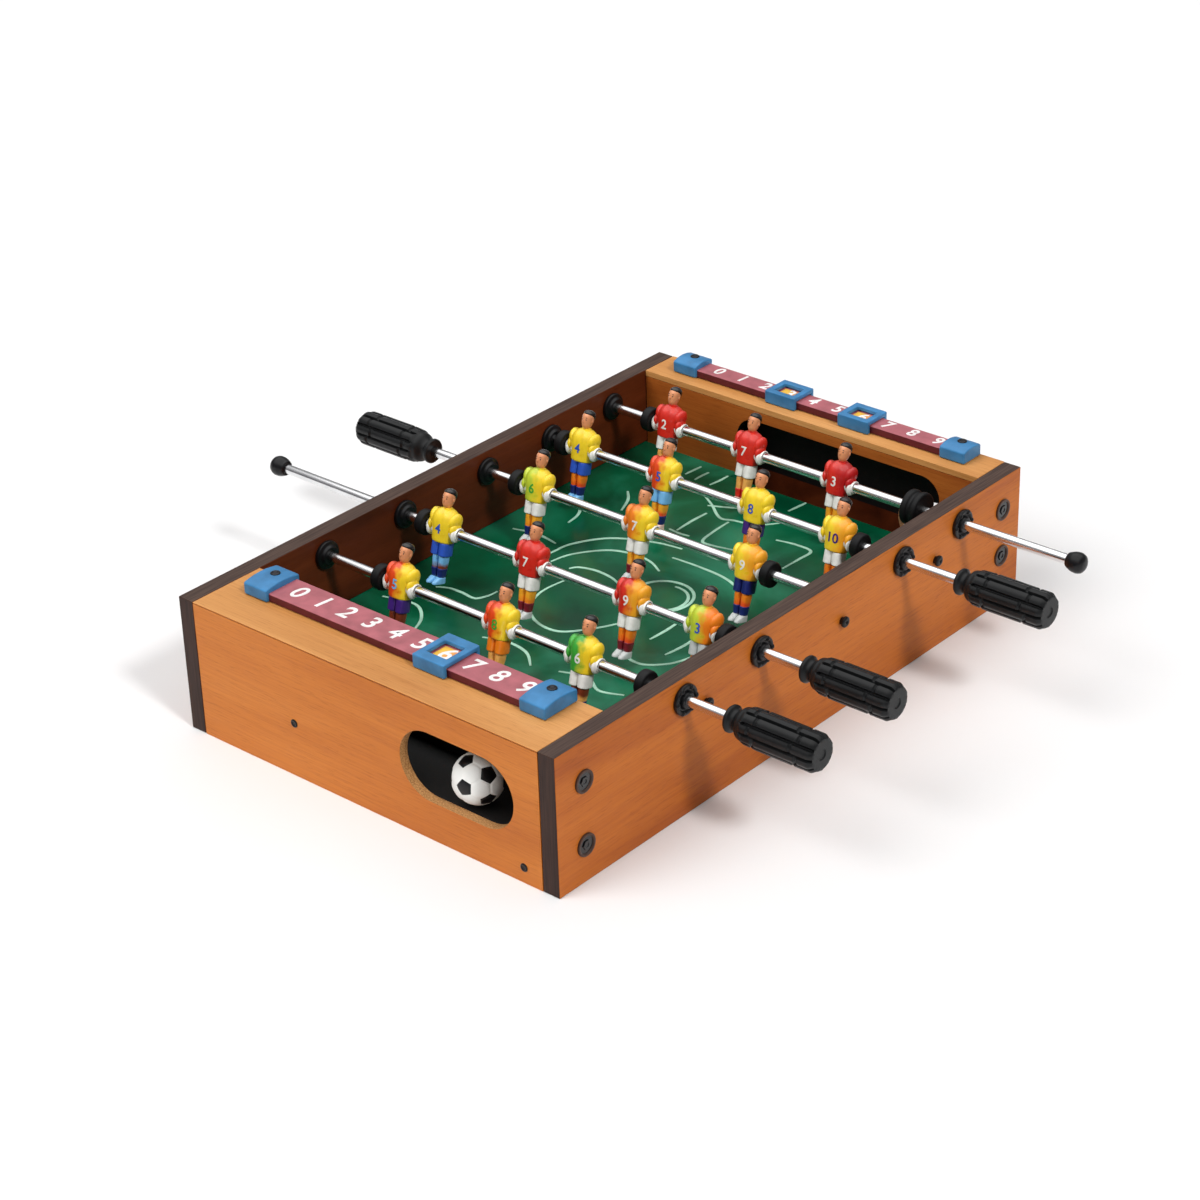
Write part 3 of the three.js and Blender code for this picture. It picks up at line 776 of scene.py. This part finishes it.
def cam_cap(radius=5.5, height=1.0):
    """A round cap: a dark rim around a glossy black socket with a raised middle."""
    rim = eased([(-0.6, 0), (-0.6, radius), (height, radius), (height, radius * 0.80),
                 (0.25, radius * 0.74), (0.25, 0)], 0.2)
    disc = [(0.1, 0), (0.1, radius * 0.77), (0.34, radius * 0.77), (0.34, 0)]
    bolt_head = eased([(0.2, 0), (0.2, radius * 0.46), (0.9, radius * 0.42), (0.9, radius * 0.24),
                       (0.5, radius * 0.2), (0.5, 0)], 0.12)
    bm = bmesh.new()
    lathe(bm, rim, 40)
    lathe(bm, disc, 40, material=1)
    lathe(bm, bolt_head, 6, material=1)
    return bm


def face_fitting(name, bm, side, y, z, materials):
    """Puts a fitting drawn along +X on the outside of a side board."""
    put(bm, (box_of("side_board_right")[1].x * side, y, z), 180 if side < 0 else 0)
    piece(name, bm, materials, FRAME_BODY)


# Places on the side boards (y, z) and on the front panel (x, z).
CAM_CAPS = [(-154.8, 50.6), (-154.8, 18.8), (157.4, 52.6), (157.4, 27.4)]
SIDE_BOLTS = [(101, 48.5), (26.5, 48), (-73, 51)]
FRONT_SCREWS = [(-43.4, 28.5), (95, 8)]


def fittings():
    for side, label in ((-1, "left"), (1, "right")):
        for i, (y, z) in enumerate(CAM_CAPS):
            face_fitting(f"cam_cap_{label}_{i + 1}", cam_cap(), side, y, z, [BRONZE, GLOSS_BLACK])
        for i, (y, z) in enumerate(SIDE_BOLTS):
            face_fitting(f"side_bolt_{label}_{i + 1}", bolt(), side, y, z, [BLACK_PLASTIC])
    front = box_of("end_panel_front")[0].y
    for i, (x, z) in enumerate(FRONT_SCREWS):
        bm = screw_head(2.1, 0.5, 1.2)
        put(bm, (x, front, z), -90)
        piece(f"front_screw_{i + 1}", bm, [BLACK_PLASTIC], FRAME_BODY)


# ---------- ball ----------
SEAM_DEPTH = 0.975


def ball_piece():
    """Twelve black and twenty white panels with sunk seams."""
    low, high = box_of("ball")
    centre, radius = (low + high) / 2, (high.z - low.z) / 2
    ico = bmesh.new()
    bmesh.ops.create_icosphere(ico, subdivisions=1, radius=1)
    ico.verts.ensure_lookup_table()
    bm = bmesh.new()
    shared = {}

    def third(near, far):
        """The corner a third of the way along an edge of the icosahedron."""
        key = (near.index, far.index)
        if key not in shared:
            shared[key] = bm.verts.new(near.co.lerp(far.co, 1 / 3))
        return shared[key]

    for face in ico.faces:
        ring = []
        for i, vert in enumerate(face.verts):
            other = face.verts[(i + 1) % 3]
            ring += [third(vert, other), third(other, vert)]
        bm.faces.new(ring).material_index = 0
    for vert in ico.verts:
        spokes = [edge.other_vert(vert) for edge in vert.link_edges]
        side = vert.co.orthogonal().normalized()
        across = vert.co.cross(side)
        spokes.sort(key=lambda v: math.atan2((v.co - vert.co).dot(across), (v.co - vert.co).dot(side)))
        bm.faces.new([third(vert, spoke) for spoke in spokes]).material_index = 1
    ico.free()
    seams = set(bm.edges)
    bmesh.ops.poke(bm, faces=bm.faces)
    for edge in bm.edges:
        edge.seam = edge in seams
    bmesh.ops.subdivide_edges(bm, edges=bm.edges, cuts=5, use_grid_fill=True)
    seam_verts = {vert for edge in bm.edges if edge.seam for vert in edge.verts}
    for vert in bm.verts:
        depth = SEAM_DEPTH if vert in seam_verts else 1.0
        vert.co = vert.co.normalized() * radius * depth
    tilt = Matrix.Rotation(math.radians(24), 3, "X") @ Matrix.Rotation(math.radians(-12), 3, "Y")
    bmesh.ops.rotate(bm, matrix=tilt, verts=bm.verts)
    obj = piece("soccer_ball", bm, [BALL_WHITE, BALL_BLACK], "ball", ["ball"], centre,
                crease=80)
    smooth = obj.modifiers.new("round", "SUBSURF")
    smooth.levels = smooth.render_levels = 1


# ---------- rods, bushes, stops, handles ----------
ROD_RADIUS = 2.5
ROD_BORE = 2.56
HAND_REACH = 10
PART_GAP = 0.3
STOP_RADIUS, STOP_LENGTH = 6.4, 5
PLAYERS = {"a": 3, "b": 4, "c": 3, "d": 4, "e": 3}
# The rear row has a big stop on its right, and the front row's right stop stands apart.
RIGHT_STOPS = {"a": {"start": 84.5, "length": 9, "radius": 9}, "e": {"start": 91}}
LOBES = 6
ROD_ENDS = {"a": ("cap", "knob"), "b": ("cap", "handle"), "c": ("handle", "blind"),
            "d": ("knob", "handle"), "e": ("cap", "handle")}


def bush_piece(row, side):
    """A flanged bush: a stepped round nose inside the table and a thinner ring outside.

    A blind bush ends inside its board.
    """
    node = f"bush_{row}_{side}"
    low, high = box_of(node)
    board_low, board_high = box_of(f"side_board_{side}")
    sign = 1 if side == "right" else -1
    inside, outside = sorted((abs(low.x), abs(high.x)))
    wall_in, wall_out = sorted((abs(board_low.x), abs(board_high.x)))
    gap = 0.15
    profile = [(inside, ROD_BORE), (inside, 4.6), (inside + 1.5, 5.4), (inside + 2.0, 7.0),
               (inside + 2.6, 7.2), (wall_in - gap, 7.2), (wall_in - gap, 5.75)]
    if outside < wall_out:
        profile += [(outside, 5.75), (outside, ROD_BORE)]
    else:
        profile += [(wall_out + gap, 5.75), (wall_out + gap, 7.5), (wall_out + 2.0, 7.4),
                    (wall_out + 2.2, 5.9), (wall_out + 1.0, 5.3), (wall_out + 1.0, 4.2),
                    (outside, 3.8), (outside, ROD_BORE)]
    bm = turned_piece([(x * sign, radius) for x, radius in eased(profile, 0.5, 3)], 56, closed=True)
    if outside > wall_out:
        for i in range(LOBES):
            turn = 2 * math.pi * i / LOBES
            lobe = (sign * (wall_out + 1.7), 6.3 * math.cos(turn), 6.3 * math.sin(turn))
            blob(bm, lobe, (1.25, 1.25, 1.25), 0)
    centre = (low + high) / 2
    piece(f"bearing_{row}_{side}", bm, [BLACK_PLASTIC], f"bushes_{row}", [node],
          (0, centre.y, centre.z))


def rod_piece(row, axis):
    low, high = box_of(f"rod_{row}")
    start = low.x + 1.2 if ROD_ENDS[row][0] in ("cap", "knob") else low.x
    end = high.x - 1.2 if ROD_ENDS[row][1] in ("cap", "knob") else high.x
    profile = eased([(start, 0), (start, ROD_RADIUS), (end, ROD_RADIUS), (end, 0)], 0.4)
    piece(f"steel_rod_{row}", turned_piece(profile, 48), [CHROME], f"row_{row}",
          [f"rod_{row}"], axis)


def stop_piece(row, label, start, length, radius, axis):
    """A rubber stop. A long one has a groove round its middle."""
    end = start + length
    middle = (start + end) / 2
    profile = [(start, ROD_RADIUS), (start, radius)]
    if length > STOP_LENGTH:
        profile += [(middle - 1.5, radius), (middle - 0.8, radius - 1.2),
                    (middle + 0.8, radius - 1.2), (middle + 1.5, radius)]
    profile += [(end, radius), (end, ROD_RADIUS)]
    bm = turned_piece(eased(profile, 1.3, 4), 48, closed=True)
    piece(f"rubber_stop_{row}_{label}", bm, [RUBBER], f"row_{row}", (), axis)


def tip_cap(row, kind, tip, way, axis):
    """The black cap on a rod's free end: a round knob or a low button. It grows inwards from the tip."""
    if kind == "knob":
        profile = [(0, 0), (0.2, 2.4), (1.4, 4.4), (3.6, 5.2), (6.2, 5.0), (8.2, 4.2), (9.6, 3.6),
                   (9.6, 2.52), (8.6, 2.52)]
    else:
        profile = [(0, 0), (0.1, 2.2), (0.9, 3.6), (2.4, 4.2), (3.5, 4.2), (3.5, 2.52), (2.5, 2.52)]
    profile = eased(profile, 0.8, 3) + [Vector((profile[-1][0], 0))]
    bm = turned_piece([(tip + way * x, radius) for x, radius in profile], 48)
    piece(f"rod_{kind}_{row}", bm, [BLACK_PLASTIC], f"row_{row}", (), axis)


def smooth_step(value, start, end):
    share = min(1.0, max(0.0, (value - start) / (end - start)))
    return share * share * (3 - 2 * share)


GRIP_RIBS = 10
GROOVE_DEPTH = 1.6
CUT_DEPTH = 1.0
# The handle before its ribs are cut: (distance from the collar, radius).
GRIP_LINE = [(0, 6.0), (0.5, 6.4), (1.6, 6.4), (2.2, 5.6), (2.6, 4.9), (4.2, 4.8), (5.2, 5.4),
             (7.2, 7.4), (9.2, 7.8), (10.6, 8.6), (18, 8.95), (46.4, 8.95), (47.2, 8.8), (48.9, 7.6)]


def grip_radius(along):
    for (near, low), (far, high) in zip(GRIP_LINE, GRIP_LINE[1:]):
        if along <= far:
            return low + (high - low) * (along - near) / (far - near)
    return GRIP_LINE[-1][1]


def grip_groove(along, turn):
    """How far the surface is cut in at this place, by the long grooves and the short cross cuts."""
    place = turn * GRIP_RIBS / (2 * math.pi)
    rib, share = int(place) % GRIP_RIBS, place % 1.0
    from_groove = min(share, 1 - share)
    groove = 1 - smooth_step(from_groove, 0.05, 0.15)
    dome = 0.35 * (1 - smooth_step(from_groove, 0.12, 0.5))
    start = 9.6 + 0.7 * (rib % 2)
    mask = smooth_step(along, start, start + 1.2)
    cuts = [17.5, 40.5] if rib % 2 else [15.0, 37.5]
    cross = max(1 - smooth_step(abs(along - cut), 0.35, 0.8) for cut in cuts)
    return mask * (max(GROOVE_DEPTH * groove, CUT_DEPTH * cross) + dome)


def handle_piece(row, axis):
    node = f"handle_{row}"
    low, high = box_of(node)
    length = high.x - low.x
    on_left = high.x < 0
    sides = GRIP_RIBS * 16
    step = 0.5
    places = [step * i for i in range(int(length / step))] + [length - 0.2]
    bm = bmesh.new()
    bore_floor, end_floor = 0.3, length - 0.5
    rings = [[bm.verts.new((bore_floor, 0, 0))]]
    rings += [circle(bm, x, radius, sides) for x, radius in ((bore_floor, 2.6), (0.0, 4.6))]
    for along in places:
        ring = []
        for i in range(sides):
            turn = 2 * math.pi * (i + 0.5) / sides
            radius = grip_radius(along) - grip_groove(along, turn)
            ring.append(bm.verts.new((along, radius * math.cos(turn), radius * math.sin(turn))))
        rings.append(ring)
    end_face = ((length, 7.2), (length, 5.8), (length, 2.6), (end_floor, 2.2), (end_floor, 1.2))
    rings += [circle(bm, x, radius, sides, 0.5) for x, radius in end_face]
    rings.append([bm.verts.new((end_floor, 0, 0))])
    skin_rings(bm, rings)
    inner = high.x if on_left else low.x
    piece(f"grip_{row}", bm, [GRIP_BLACK], f"row_{row}", [node],
          (inner, axis[1], axis[2]), turned=on_left, crease=50)


def row_parts(row):
    bush = centre_of(f"bush_{row}_left")
    axis = (0, bush.y, bush.z)
    for side in ("left", "right"):
        bush_piece(row, side)
    rod_piece(row, axis)
    first = centre_of(f"player_{row}1").x - HAND_REACH - PART_GAP
    last = centre_of(f"player_{row}{PLAYERS[row]}").x + HAND_REACH + PART_GAP
    stop_piece(row, "left", first - STOP_LENGTH, STOP_LENGTH, STOP_RADIUS, axis)
    right = {"start": last, "length": STOP_LENGTH, "radius": STOP_RADIUS, **RIGHT_STOPS.get(row, {})}
    stop_piece(row, "right", right["start"], right["length"], right["radius"], axis)
    low, high = box_of(f"rod_{row}")
    for kind, tip, way in zip(ROD_ENDS[row], (low.x, high.x), (1, -1)):
        if kind == "handle":
            handle_piece(row, axis)
        elif kind != "blind":
            tip_cap(row, kind, tip, way, axis)


# ---------- player figures ----------
# At rest the rows are turned a little, with the feet towards the front.
LEAN = math.radians(16)
SHIRT, SHORTS, THIGH, SOCK, BOOT, SKIN, HAIR, GLOVE, NUMBER = range(9)


def ring_at(bm, z, x, y, half_x, half_y, sides, power=2.0):
    corners = []
    for i in range(sides):
        turn = 2 * math.pi * (i + 0.5) / sides
        cos, sin = math.cos(turn), math.sin(turn)
        corners.append(bm.verts.new((
            x + half_x * math.copysign(abs(cos) ** (2 / power), cos),
            y + half_y * math.copysign(abs(sin) ** (2 / power), sin), z)))
    return corners


def loft(bm, sections, material, sides=12, power=2.0):
    """A closed skin over sections of (z, x, y, half width, half depth)."""
    rings = [ring_at(bm, *section, sides, power) for section in sections]
    skin_rings(bm, rings, material)
    for ring in (rings[0], rings[-1]):
        bm.faces.new(ring).material_index = material


def blob(bm, centre, radii, material, turn=None, rings=6, sides=10):
    """An egg shape."""
    corners = [[bm.verts.new((0, 0, -1))]]
    for i in range(1, rings):
        height = -math.cos(math.pi * i / rings)
        width = math.sin(math.pi * i / rings)
        corners.append(ring_at(bm, height, 0, 0, width, width, sides))
    corners.append([bm.verts.new((0, 0, 1))])
    skin_rings(bm, corners, material)
    moved = [vert for ring in corners for vert in ring]
    bmesh.ops.scale(bm, vec=radii, verts=moved)
    if turn:
        bmesh.ops.rotate(bm, matrix=Matrix.Rotation(math.radians(turn[0]), 3, turn[1]), verts=moved)
    bmesh.ops.translate(bm, vec=centre, verts=moved)


def shirt(bm):
    """Puffed chest and shoulders with a sunk middle line, over a narrower waist."""
    sections = [(-6.3, 5.3, 4.2), (-5.6, 6.0, 4.7), (-3.0, 6.2, 4.9), (-0.5, 6.4, 5.1), (2.0, 6.9, 5.5),
                (4.5, 7.4, 5.8), (7.0, 7.2, 5.5), (9.0, 6.0, 4.7), (10.4, 4.0, 3.4), (11.0, 2.4, 2.3)]
    sides = 28
    rings = []
    for z, half_x, half_y in sections:
        ring = ring_at(bm, z, 0, -0.2, half_x, half_y, sides, 2.3)
        depth = smooth_step(z, -1.5, 4.5) * (1 - 0.5 * smooth_step(z, 8.0, 11.0))
        for vert in ring:
            sink = math.exp(-((vert.co.x / 1.0) ** 2)) * depth
            vert.co.y *= 1 - 0.26 * sink
        rings.append(ring)
    skin_rings(bm, rings, SHIRT)
    for ring in (rings[0], rings[-1]):
        bm.faces.new(ring).material_index = SHIRT


def arms(bm):
    for side in (-1, 1):
        blob(bm, (side * 6.0, -0.2, 5.2), (3.1, 4.7, 4.9), SHIRT, (side * 14, "Y"))
        blob(bm, (side * 7.1, -0.6, 1.6), (2.3, 4.2, 3.9), SHIRT, (side * 6, "Y"))
        blob(bm, (side * 7.9, -0.6, -0.6), (2.0, 4.1, 4.0), GLOVE)


# The right leg: material, sides, power and sections of (z, x, y, half width, half depth).
LEG = [
    (SHORTS, 14, 2.6, [(-5.4, 2.2, 0, 2.5, 3.7), (-6.2, 2.4, 0, 2.9, 4.1), (-9.0, 2.4, 0, 2.75, 4.0),
                       (-11.8, 2.45, 0, 2.75, 4.0), (-12.6, 2.45, 0, 2.7, 3.95),
                       (-12.7, 2.4, 0, 2.2, 3.3)]),
    (THIGH, 12, 2.4, [(-11.8, 2.1, 0, 2.0, 3.1), (-14.5, 2.05, 0.1, 2.15, 3.2),
                      (-17.2, 2.0, 0.1, 2.0, 2.9), (-19.4, 1.9, 0, 1.85, 2.7), (-20.2, 1.9, 0, 1.7, 2.4)]),
    (SOCK, 12, 2.4, [(-18.9, 1.9, 0, 1.8, 2.6), (-19.2, 1.9, 0, 2.1, 2.95), (-20.1, 1.9, 0, 2.1, 2.95),
                     (-20.5, 1.85, 0.1, 1.95, 2.75), (-22.4, 1.8, 0.2, 1.9, 2.7),
                     (-24.4, 1.8, 0.1, 1.65, 2.3)]),
    (BOOT, 14, 3.0, [(-27.0, 1.85, -1.4, 1.6, 4.1), (-26.8, 1.85, -1.4, 1.8, 4.4),
                     (-25.6, 1.85, -1.3, 1.8, 4.2), (-24.4, 1.85, -0.3, 1.75, 3.0),
                     (-23.4, 1.85, 0.1, 1.7, 2.5)]),
]


def legs(bm):
    for side in (-1, 1):
        for material, sides, power, sections in LEG:
            loft(bm, [(z, side * x, *rest) for z, x, *rest in sections], material, sides, power)


def head(bm):
    """A plain doll's head: a smooth oval with a small nose, ears, painted eyes and mouth, and hair."""
    loft(bm, [(9.6, 0, 0.2, 1.7, 1.8), (11.5, 0, 0.1, 1.55, 1.7), (13.0, 0, 0.0, 1.7, 1.9)], SKIN, 10)
    loft(bm, [(10.7, 0, -0.1, 2.7, 2.6), (11.2, 0, -0.1, 2.6, 2.5), (11.4, 0, 0.0, 1.9, 1.9)], SHIRT, 14)
    loft(bm, [(10.9, 0, -0.7, 0.9, 1.1), (11.3, 0, -0.7, 1.7, 1.9), (12.6, 0, -0.6, 2.5, 3.0),
              (14.6, 0, -0.4, 3.0, 3.5), (16.6, 0, -0.2, 3.2, 3.7), (18.4, 0, 0.0, 2.9, 3.4),
              (19.6, 0, 0.1, 1.9, 2.3), (20.0, 0, 0.1, 0.9, 1.1)], SKIN, 14)
    blob(bm, (0, -3.95, 15.0), (0.42, 0.5, 0.75), SKIN, rings=4, sides=8)
    for side in (-1, 1):
        blob(bm, (side * 3.05, -0.1, 15.3), (0.45, 0.75, 1.0), SKIN, rings=4, sides=8)
        blob(bm, (side * 1.2, -3.38, 16.0), (0.42, 0.25, 0.38), HAIR, rings=4, sides=8)
        blob(bm, (side * 1.25, -3.42, 17.05), (0.7, 0.25, 0.16), HAIR, rings=4, sides=8)
    blob(bm, (0, -3.28, 13.35), (0.75, 0.28, 0.22), SHIRT, rings=4, sides=8)
    loft(bm, [(15.2, 0, 1.9, 2.1, 1.8), (16.6, 0, 1.4, 2.9, 2.6), (18.1, 0, 0.8, 3.25, 3.2),
              (19.1, 0, 0.3, 3.0, 3.4), (19.9, 0, 0.1, 2.2, 2.6), (20.5, 0, 0.1, 1.0, 1.3)], HAIR, 16)


def rod_sleeve(bm):
    """The moulded tube around the rod, between the hands."""
    profile = eased([(-9.9, ROD_BORE), (-9.9, 3.4), (9.9, 3.4), (9.9, ROD_BORE)], 0.4, 2)
    lathe(bm, profile, 16, GLOVE, closed=True)


def figure_template():
    """The body that every figure shares, in millimetres, and a tree to lay numerals on it."""
    bm = bmesh.new()
    shirt(bm)
    arms(bm)
    legs(bm)
    head(bm)
    rod_sleeve(bm)
    bmesh.ops.recalc_face_normals(bm, faces=bm.faces)
    mesh = bpy.data.meshes.new("figure")
    bm.to_mesh(mesh)
    bm.free()
    holder = add_object("figure", mesh)
    smooth = holder.modifiers.new("smooth", "SUBSURF")
    smooth.levels = smooth.render_levels = 2
    final = evaluated(holder)
    bpy.data.meshes.remove(mesh)
    tree = BVHTree.FromPolygons([v.co for v in final.vertices], [p.vertices for p in final.polygons])
    return final, tree


NUMBER_RISE = 0.14
NUMBER_ROOT = 0.25


def chest_number(bm, tree, text, height, z):
    """Lays a numeral on the front of the shirt."""
    mesh = number_mesh(text, height, thickness=0.0, weight=0.1)
    part = bmesh.new()
    part.from_mesh(mesh)
    bpy.data.meshes.remove(mesh)
    bmesh.ops.remove_doubles(part, verts=part.verts, dist=0.001)
    long_edges = [edge for edge in part.edges if edge.calc_length() > 0.7]
    bmesh.ops.subdivide_edges(part, edges=long_edges, cuts=2)
    bmesh.ops.triangulate(part, faces=part.faces)
    raised = {}
    for vert in part.verts:
        hit = tree.ray_cast(Vector((vert.co.x, -30, vert.co.y + z)), Vector((0, 1, 0)))[0]
        raised[vert] = [bm.verts.new(hit + Vector((0, depth, 0))) for depth in (-NUMBER_RISE, NUMBER_ROOT)]
    for face in part.faces:
        front = [raised[vert][0] for vert in face.verts]
        back = [raised[vert][1] for vert in face.verts]
        bm.faces.new(front).material_index = NUMBER
        bm.faces.new(reversed(back)).material_index = NUMBER
    for edge in part.edges:
        if edge.is_boundary:
            first, second = edge.verts
            wall = (raised[first][0], raised[second][0], raised[second][1], raised[first][1])
            bm.faces.new(wall).material_index = NUMBER
    part.free()


RED, CRIMSON = srgb(212, 42, 30), srgb(180, 26, 28)
ORANGE_RED, ORANGE, AMBER = srgb(230, 74, 28), srgb(240, 128, 30), srgb(244, 166, 40)
YELLOW, LIME, GREEN = srgb(250, 212, 44), srgb(196, 212, 58), srgb(64, 168, 60)
SKY, BLUE, NAVY, PURPLE = srgb(120, 184, 232), srgb(48, 88, 190), srgb(28, 38, 104), srgb(66, 36, 118)
MAROON, PINK, GREY, TAN = srgb(118, 22, 38), srgb(238, 200, 186), srgb(196, 200, 198), srgb(240, 172, 88)
FLESH, BROWN, BLACK = srgb(226, 150, 104), srgb(120, 52, 30), srgb(20, 18, 18)
# Shirt, shirt's right shoulder, shorts, thigh, lower thigh, sock, boot, numeral colour and text.
KITS = {
    "a1": (RED, RED, WHITE, TAN, TAN, RED, PINK, WHITE, "2"),
    "a2": (RED, RED, WHITE, TAN, TAN, RED, PINK, WHITE, "7"),
    "a3": (RED, CRIMSON, WHITE, AMBER, ORANGE, CRIMSON, PINK, WHITE, "3"),
    "b1": (YELLOW, YELLOW, BLUE, ORANGE, ORANGE_RED, NAVY, SKY, BLUE, "4"),
    "b2": (ORANGE_RED, YELLOW, SKY, AMBER, ORANGE_RED, NAVY, PINK, BLUE, "5"),
    "b3": (YELLOW, YELLOW, PURPLE, ORANGE, RED, PURPLE, GREY, BLUE, "8"),
    "b4": (YELLOW, AMBER, WHITE, ORANGE, ORANGE_RED, PURPLE, PINK, PURPLE, "10"),
    "c1": (LIME, YELLOW, WHITE, AMBER, ORANGE, NAVY, GREY, GREEN, "6"),
    "c2": (ORANGE, YELLOW, WHITE, AMBER, TAN, MAROON, GREY, WHITE, "7"),
    "c3": (YELLOW, AMBER, NAVY, ORANGE, ORANGE_RED, NAVY, GREY, WHITE, "9"),
    "d1": (YELLOW, YELLOW, BLUE, SKY, BROWN, NAVY, SKY, BLUE, "4"),
    "d2": (RED, RED, WHITE, AMBER, ORANGE, MAROON, GREY, WHITE, "7"),
    "d3": (RED, AMBER, WHITE, ORANGE, ORANGE_RED, MAROON, GREY, WHITE, "9"),
    "d4": (LIME, ORANGE, GREY, ORANGE, ORANGE_RED, NAVY, GREY, BLUE, "3"),
    "e1": (ORANGE_RED, YELLOW, PURPLE, BROWN, BROWN, NAVY, GREY, SKY, "5"),
    "e2": (ORANGE_RED, YELLOW, ORANGE, TAN, TAN, MAROON, GREY, GREEN, "8"),
    "e3": (GREEN, YELLOW, WHITE, BROWN, TAN, NAVY, GREY, WHITE, "6"),
}
# The thigh's colour changes between these two heights, in metres.
KNEE = (-0.016, -0.0185)


def figures():
    template, tree = figure_template()
    skin = figure_paint("figure_skin", FLESH)
    hair = figure_paint("figure_hair", BLACK)
    glove = figure_paint("figure_glove", WHITE)
    for player, kit in KITS.items():
        main, shoulder, shorts, thigh, knee, sock, boot, ink, text = kit
        row = player[0]
        materials = [
            figure_paint(f"shirt_{player}", main, shoulder if shoulder != main else None),
            figure_paint(f"shorts_{player}", shorts),
            figure_paint(f"thigh_{player}", thigh, knee if knee != thigh else None, Z_AXIS, *KNEE),
            figure_paint(f"sock_{player}", sock),
            figure_paint(f"boot_{player}", boot),
            skin, hair, glove,
            figure_paint(f"number_{player}", ink),
        ]
        bm = bmesh.new()
        bm.from_mesh(template)
        chest_number(bm, tree, text, 4.8, 0.8)
        centre = centre_of(f"player_{player}")
        bush = centre_of(f"bush_{row}_left")
        piece(f"figure_{player}", bm, materials, f"row_{row}", [f"player_{player}"],
              (centre.x, bush.y, bush.z), crease=60, lean=LEAN)
    bpy.data.meshes.remove(template)


# ---------- camera, lights and floor ----------
CAMERA_LENS = 89.2
CAMERA_PLACE = (0.82644, -0.94113, 0.71568)
CAMERA_BACK = (0.583, -0.656, 0.479)
CAMERA_UP_HINT = (-0.294, 0.380, 0.877)
VIEW_DEPTH = 60


def camera():
    data = bpy.data.cameras.new("camera")
    data.lens = CAMERA_LENS
    data.clip_end = VIEW_DEPTH
    obj = add_object("camera", data)
    back = Vector(CAMERA_BACK).normalized()
    right = Vector(CAMERA_UP_HINT).cross(back).normalized()
    up = back.cross(right)
    turn = Matrix((right, up, back)).transposed().to_4x4()
    obj.matrix_world = Matrix.Translation(CAMERA_PLACE) @ turn
    bpy.context.scene.camera = obj


def soft_sun(name, towards, angle, strength):
    """A far, wide light that leaves no glint. The direction points from the table towards it."""
    data = bpy.data.lights.new(name, "SUN")
    data.angle = math.radians(angle)
    data.energy = strength
    obj = add_object(name, data)
    obj.location = Vector(towards)
    obj.rotation_euler = Vector(towards).to_track_quat("Z", "Y").to_euler()
    obj.visible_glossy = False


def overhead_panel(size, height, power):
    """A wide panel that only shows in gloss, so that chrome and lacquer get a soft white band."""
    data = bpy.data.lights.new("panel", "AREA")
    data.size = size
    data.energy = power
    obj = add_object("panel", data)
    obj.location = (-0.4, 0, height)
    obj.visible_diffuse = False


def studio():
    """A room that is bright overhead and dark at the horizon, so that chrome shows stripes."""
    world = bpy.data.worlds.new("studio")
    world.use_nodes = True
    tree = world.node_tree
    direction = tree.nodes.new("ShaderNodeTexCoord").outputs["Generated"]
    split = tree.nodes.new("ShaderNodeSeparateXYZ")
    ramp = tree.nodes.new("ShaderNodeValToRGB")
    tree.links.new(direction, split.inputs[0])
    tree.links.new(split.outputs["Z"], ramp.inputs["Fac"])
    tree.links.new(ramp.outputs["Color"], tree.nodes["Background"].inputs["Color"])
    elements = ramp.color_ramp.elements
    elements[0].position, elements[0].color = 0.06, (0.10, 0.10, 0.11, 1)
    elements[1].position, elements[1].color = 0.9, (1.0, 1.0, 1.0, 1)
    elements.new(0.35).color = (0.45, 0.45, 0.46, 1)
    tree.nodes["Background"].inputs["Strength"].default_value = 0.62
    bpy.context.scene.world = world
    bpy.context.scene.view_settings.view_transform = "Standard"
    soft_sun("key", (-0.5, -1.0, 1.3), 40, 1.75)
    soft_sun("side", (1.0, -0.2, 1.0), 9, 1.45)
    overhead_panel(3.2, 1.6, 34)


FLOOR_HALF = 15000
FLOOR_LEVEL = -0.1


def floor():
    bm = bmesh.new()
    outline = rectangle(-FLOOR_HALF, FLOOR_HALF, -FLOOR_HALF, FLOOR_HALF)
    bm.faces.new([bm.verts.new((x, y, FLOOR_LEVEL)) for x, y in outline])
    bmesh.ops.scale(bm, vec=(MM,) * 3, verts=bm.verts)
    mesh = bpy.data.meshes.new("floor")
    bm.to_mesh(mesh)
    bm.free()
    paint = Paint("floor", 0.6)
    paper = paint.noise(paint.place(), 4, detail=2)
    paint.colour(paint.ramp(paper, (0.3, srgb(239, 239, 239)), (0.7, srgb(242, 242, 242))))
    mesh.materials.append(paint.material)
    add_object("floor", mesh)


camera()
studio()
floor()
wooden_body()
pitch_markings()
for bar_end, marked_numbers in (("front", (6,)), ("rear", (3, 6))):
    score_bar(bar_end, marked_numbers)
    for block_side in ("left", "right"):
        end_block(bar_end, block_side)
for bar_end, number in (("front", 1), ("rear", 1), ("rear", 2)):
    counter(bar_end, number)
fittings()
ball_piece()
for row_name in PLAYERS:
    row_parts(row_name)
figures()
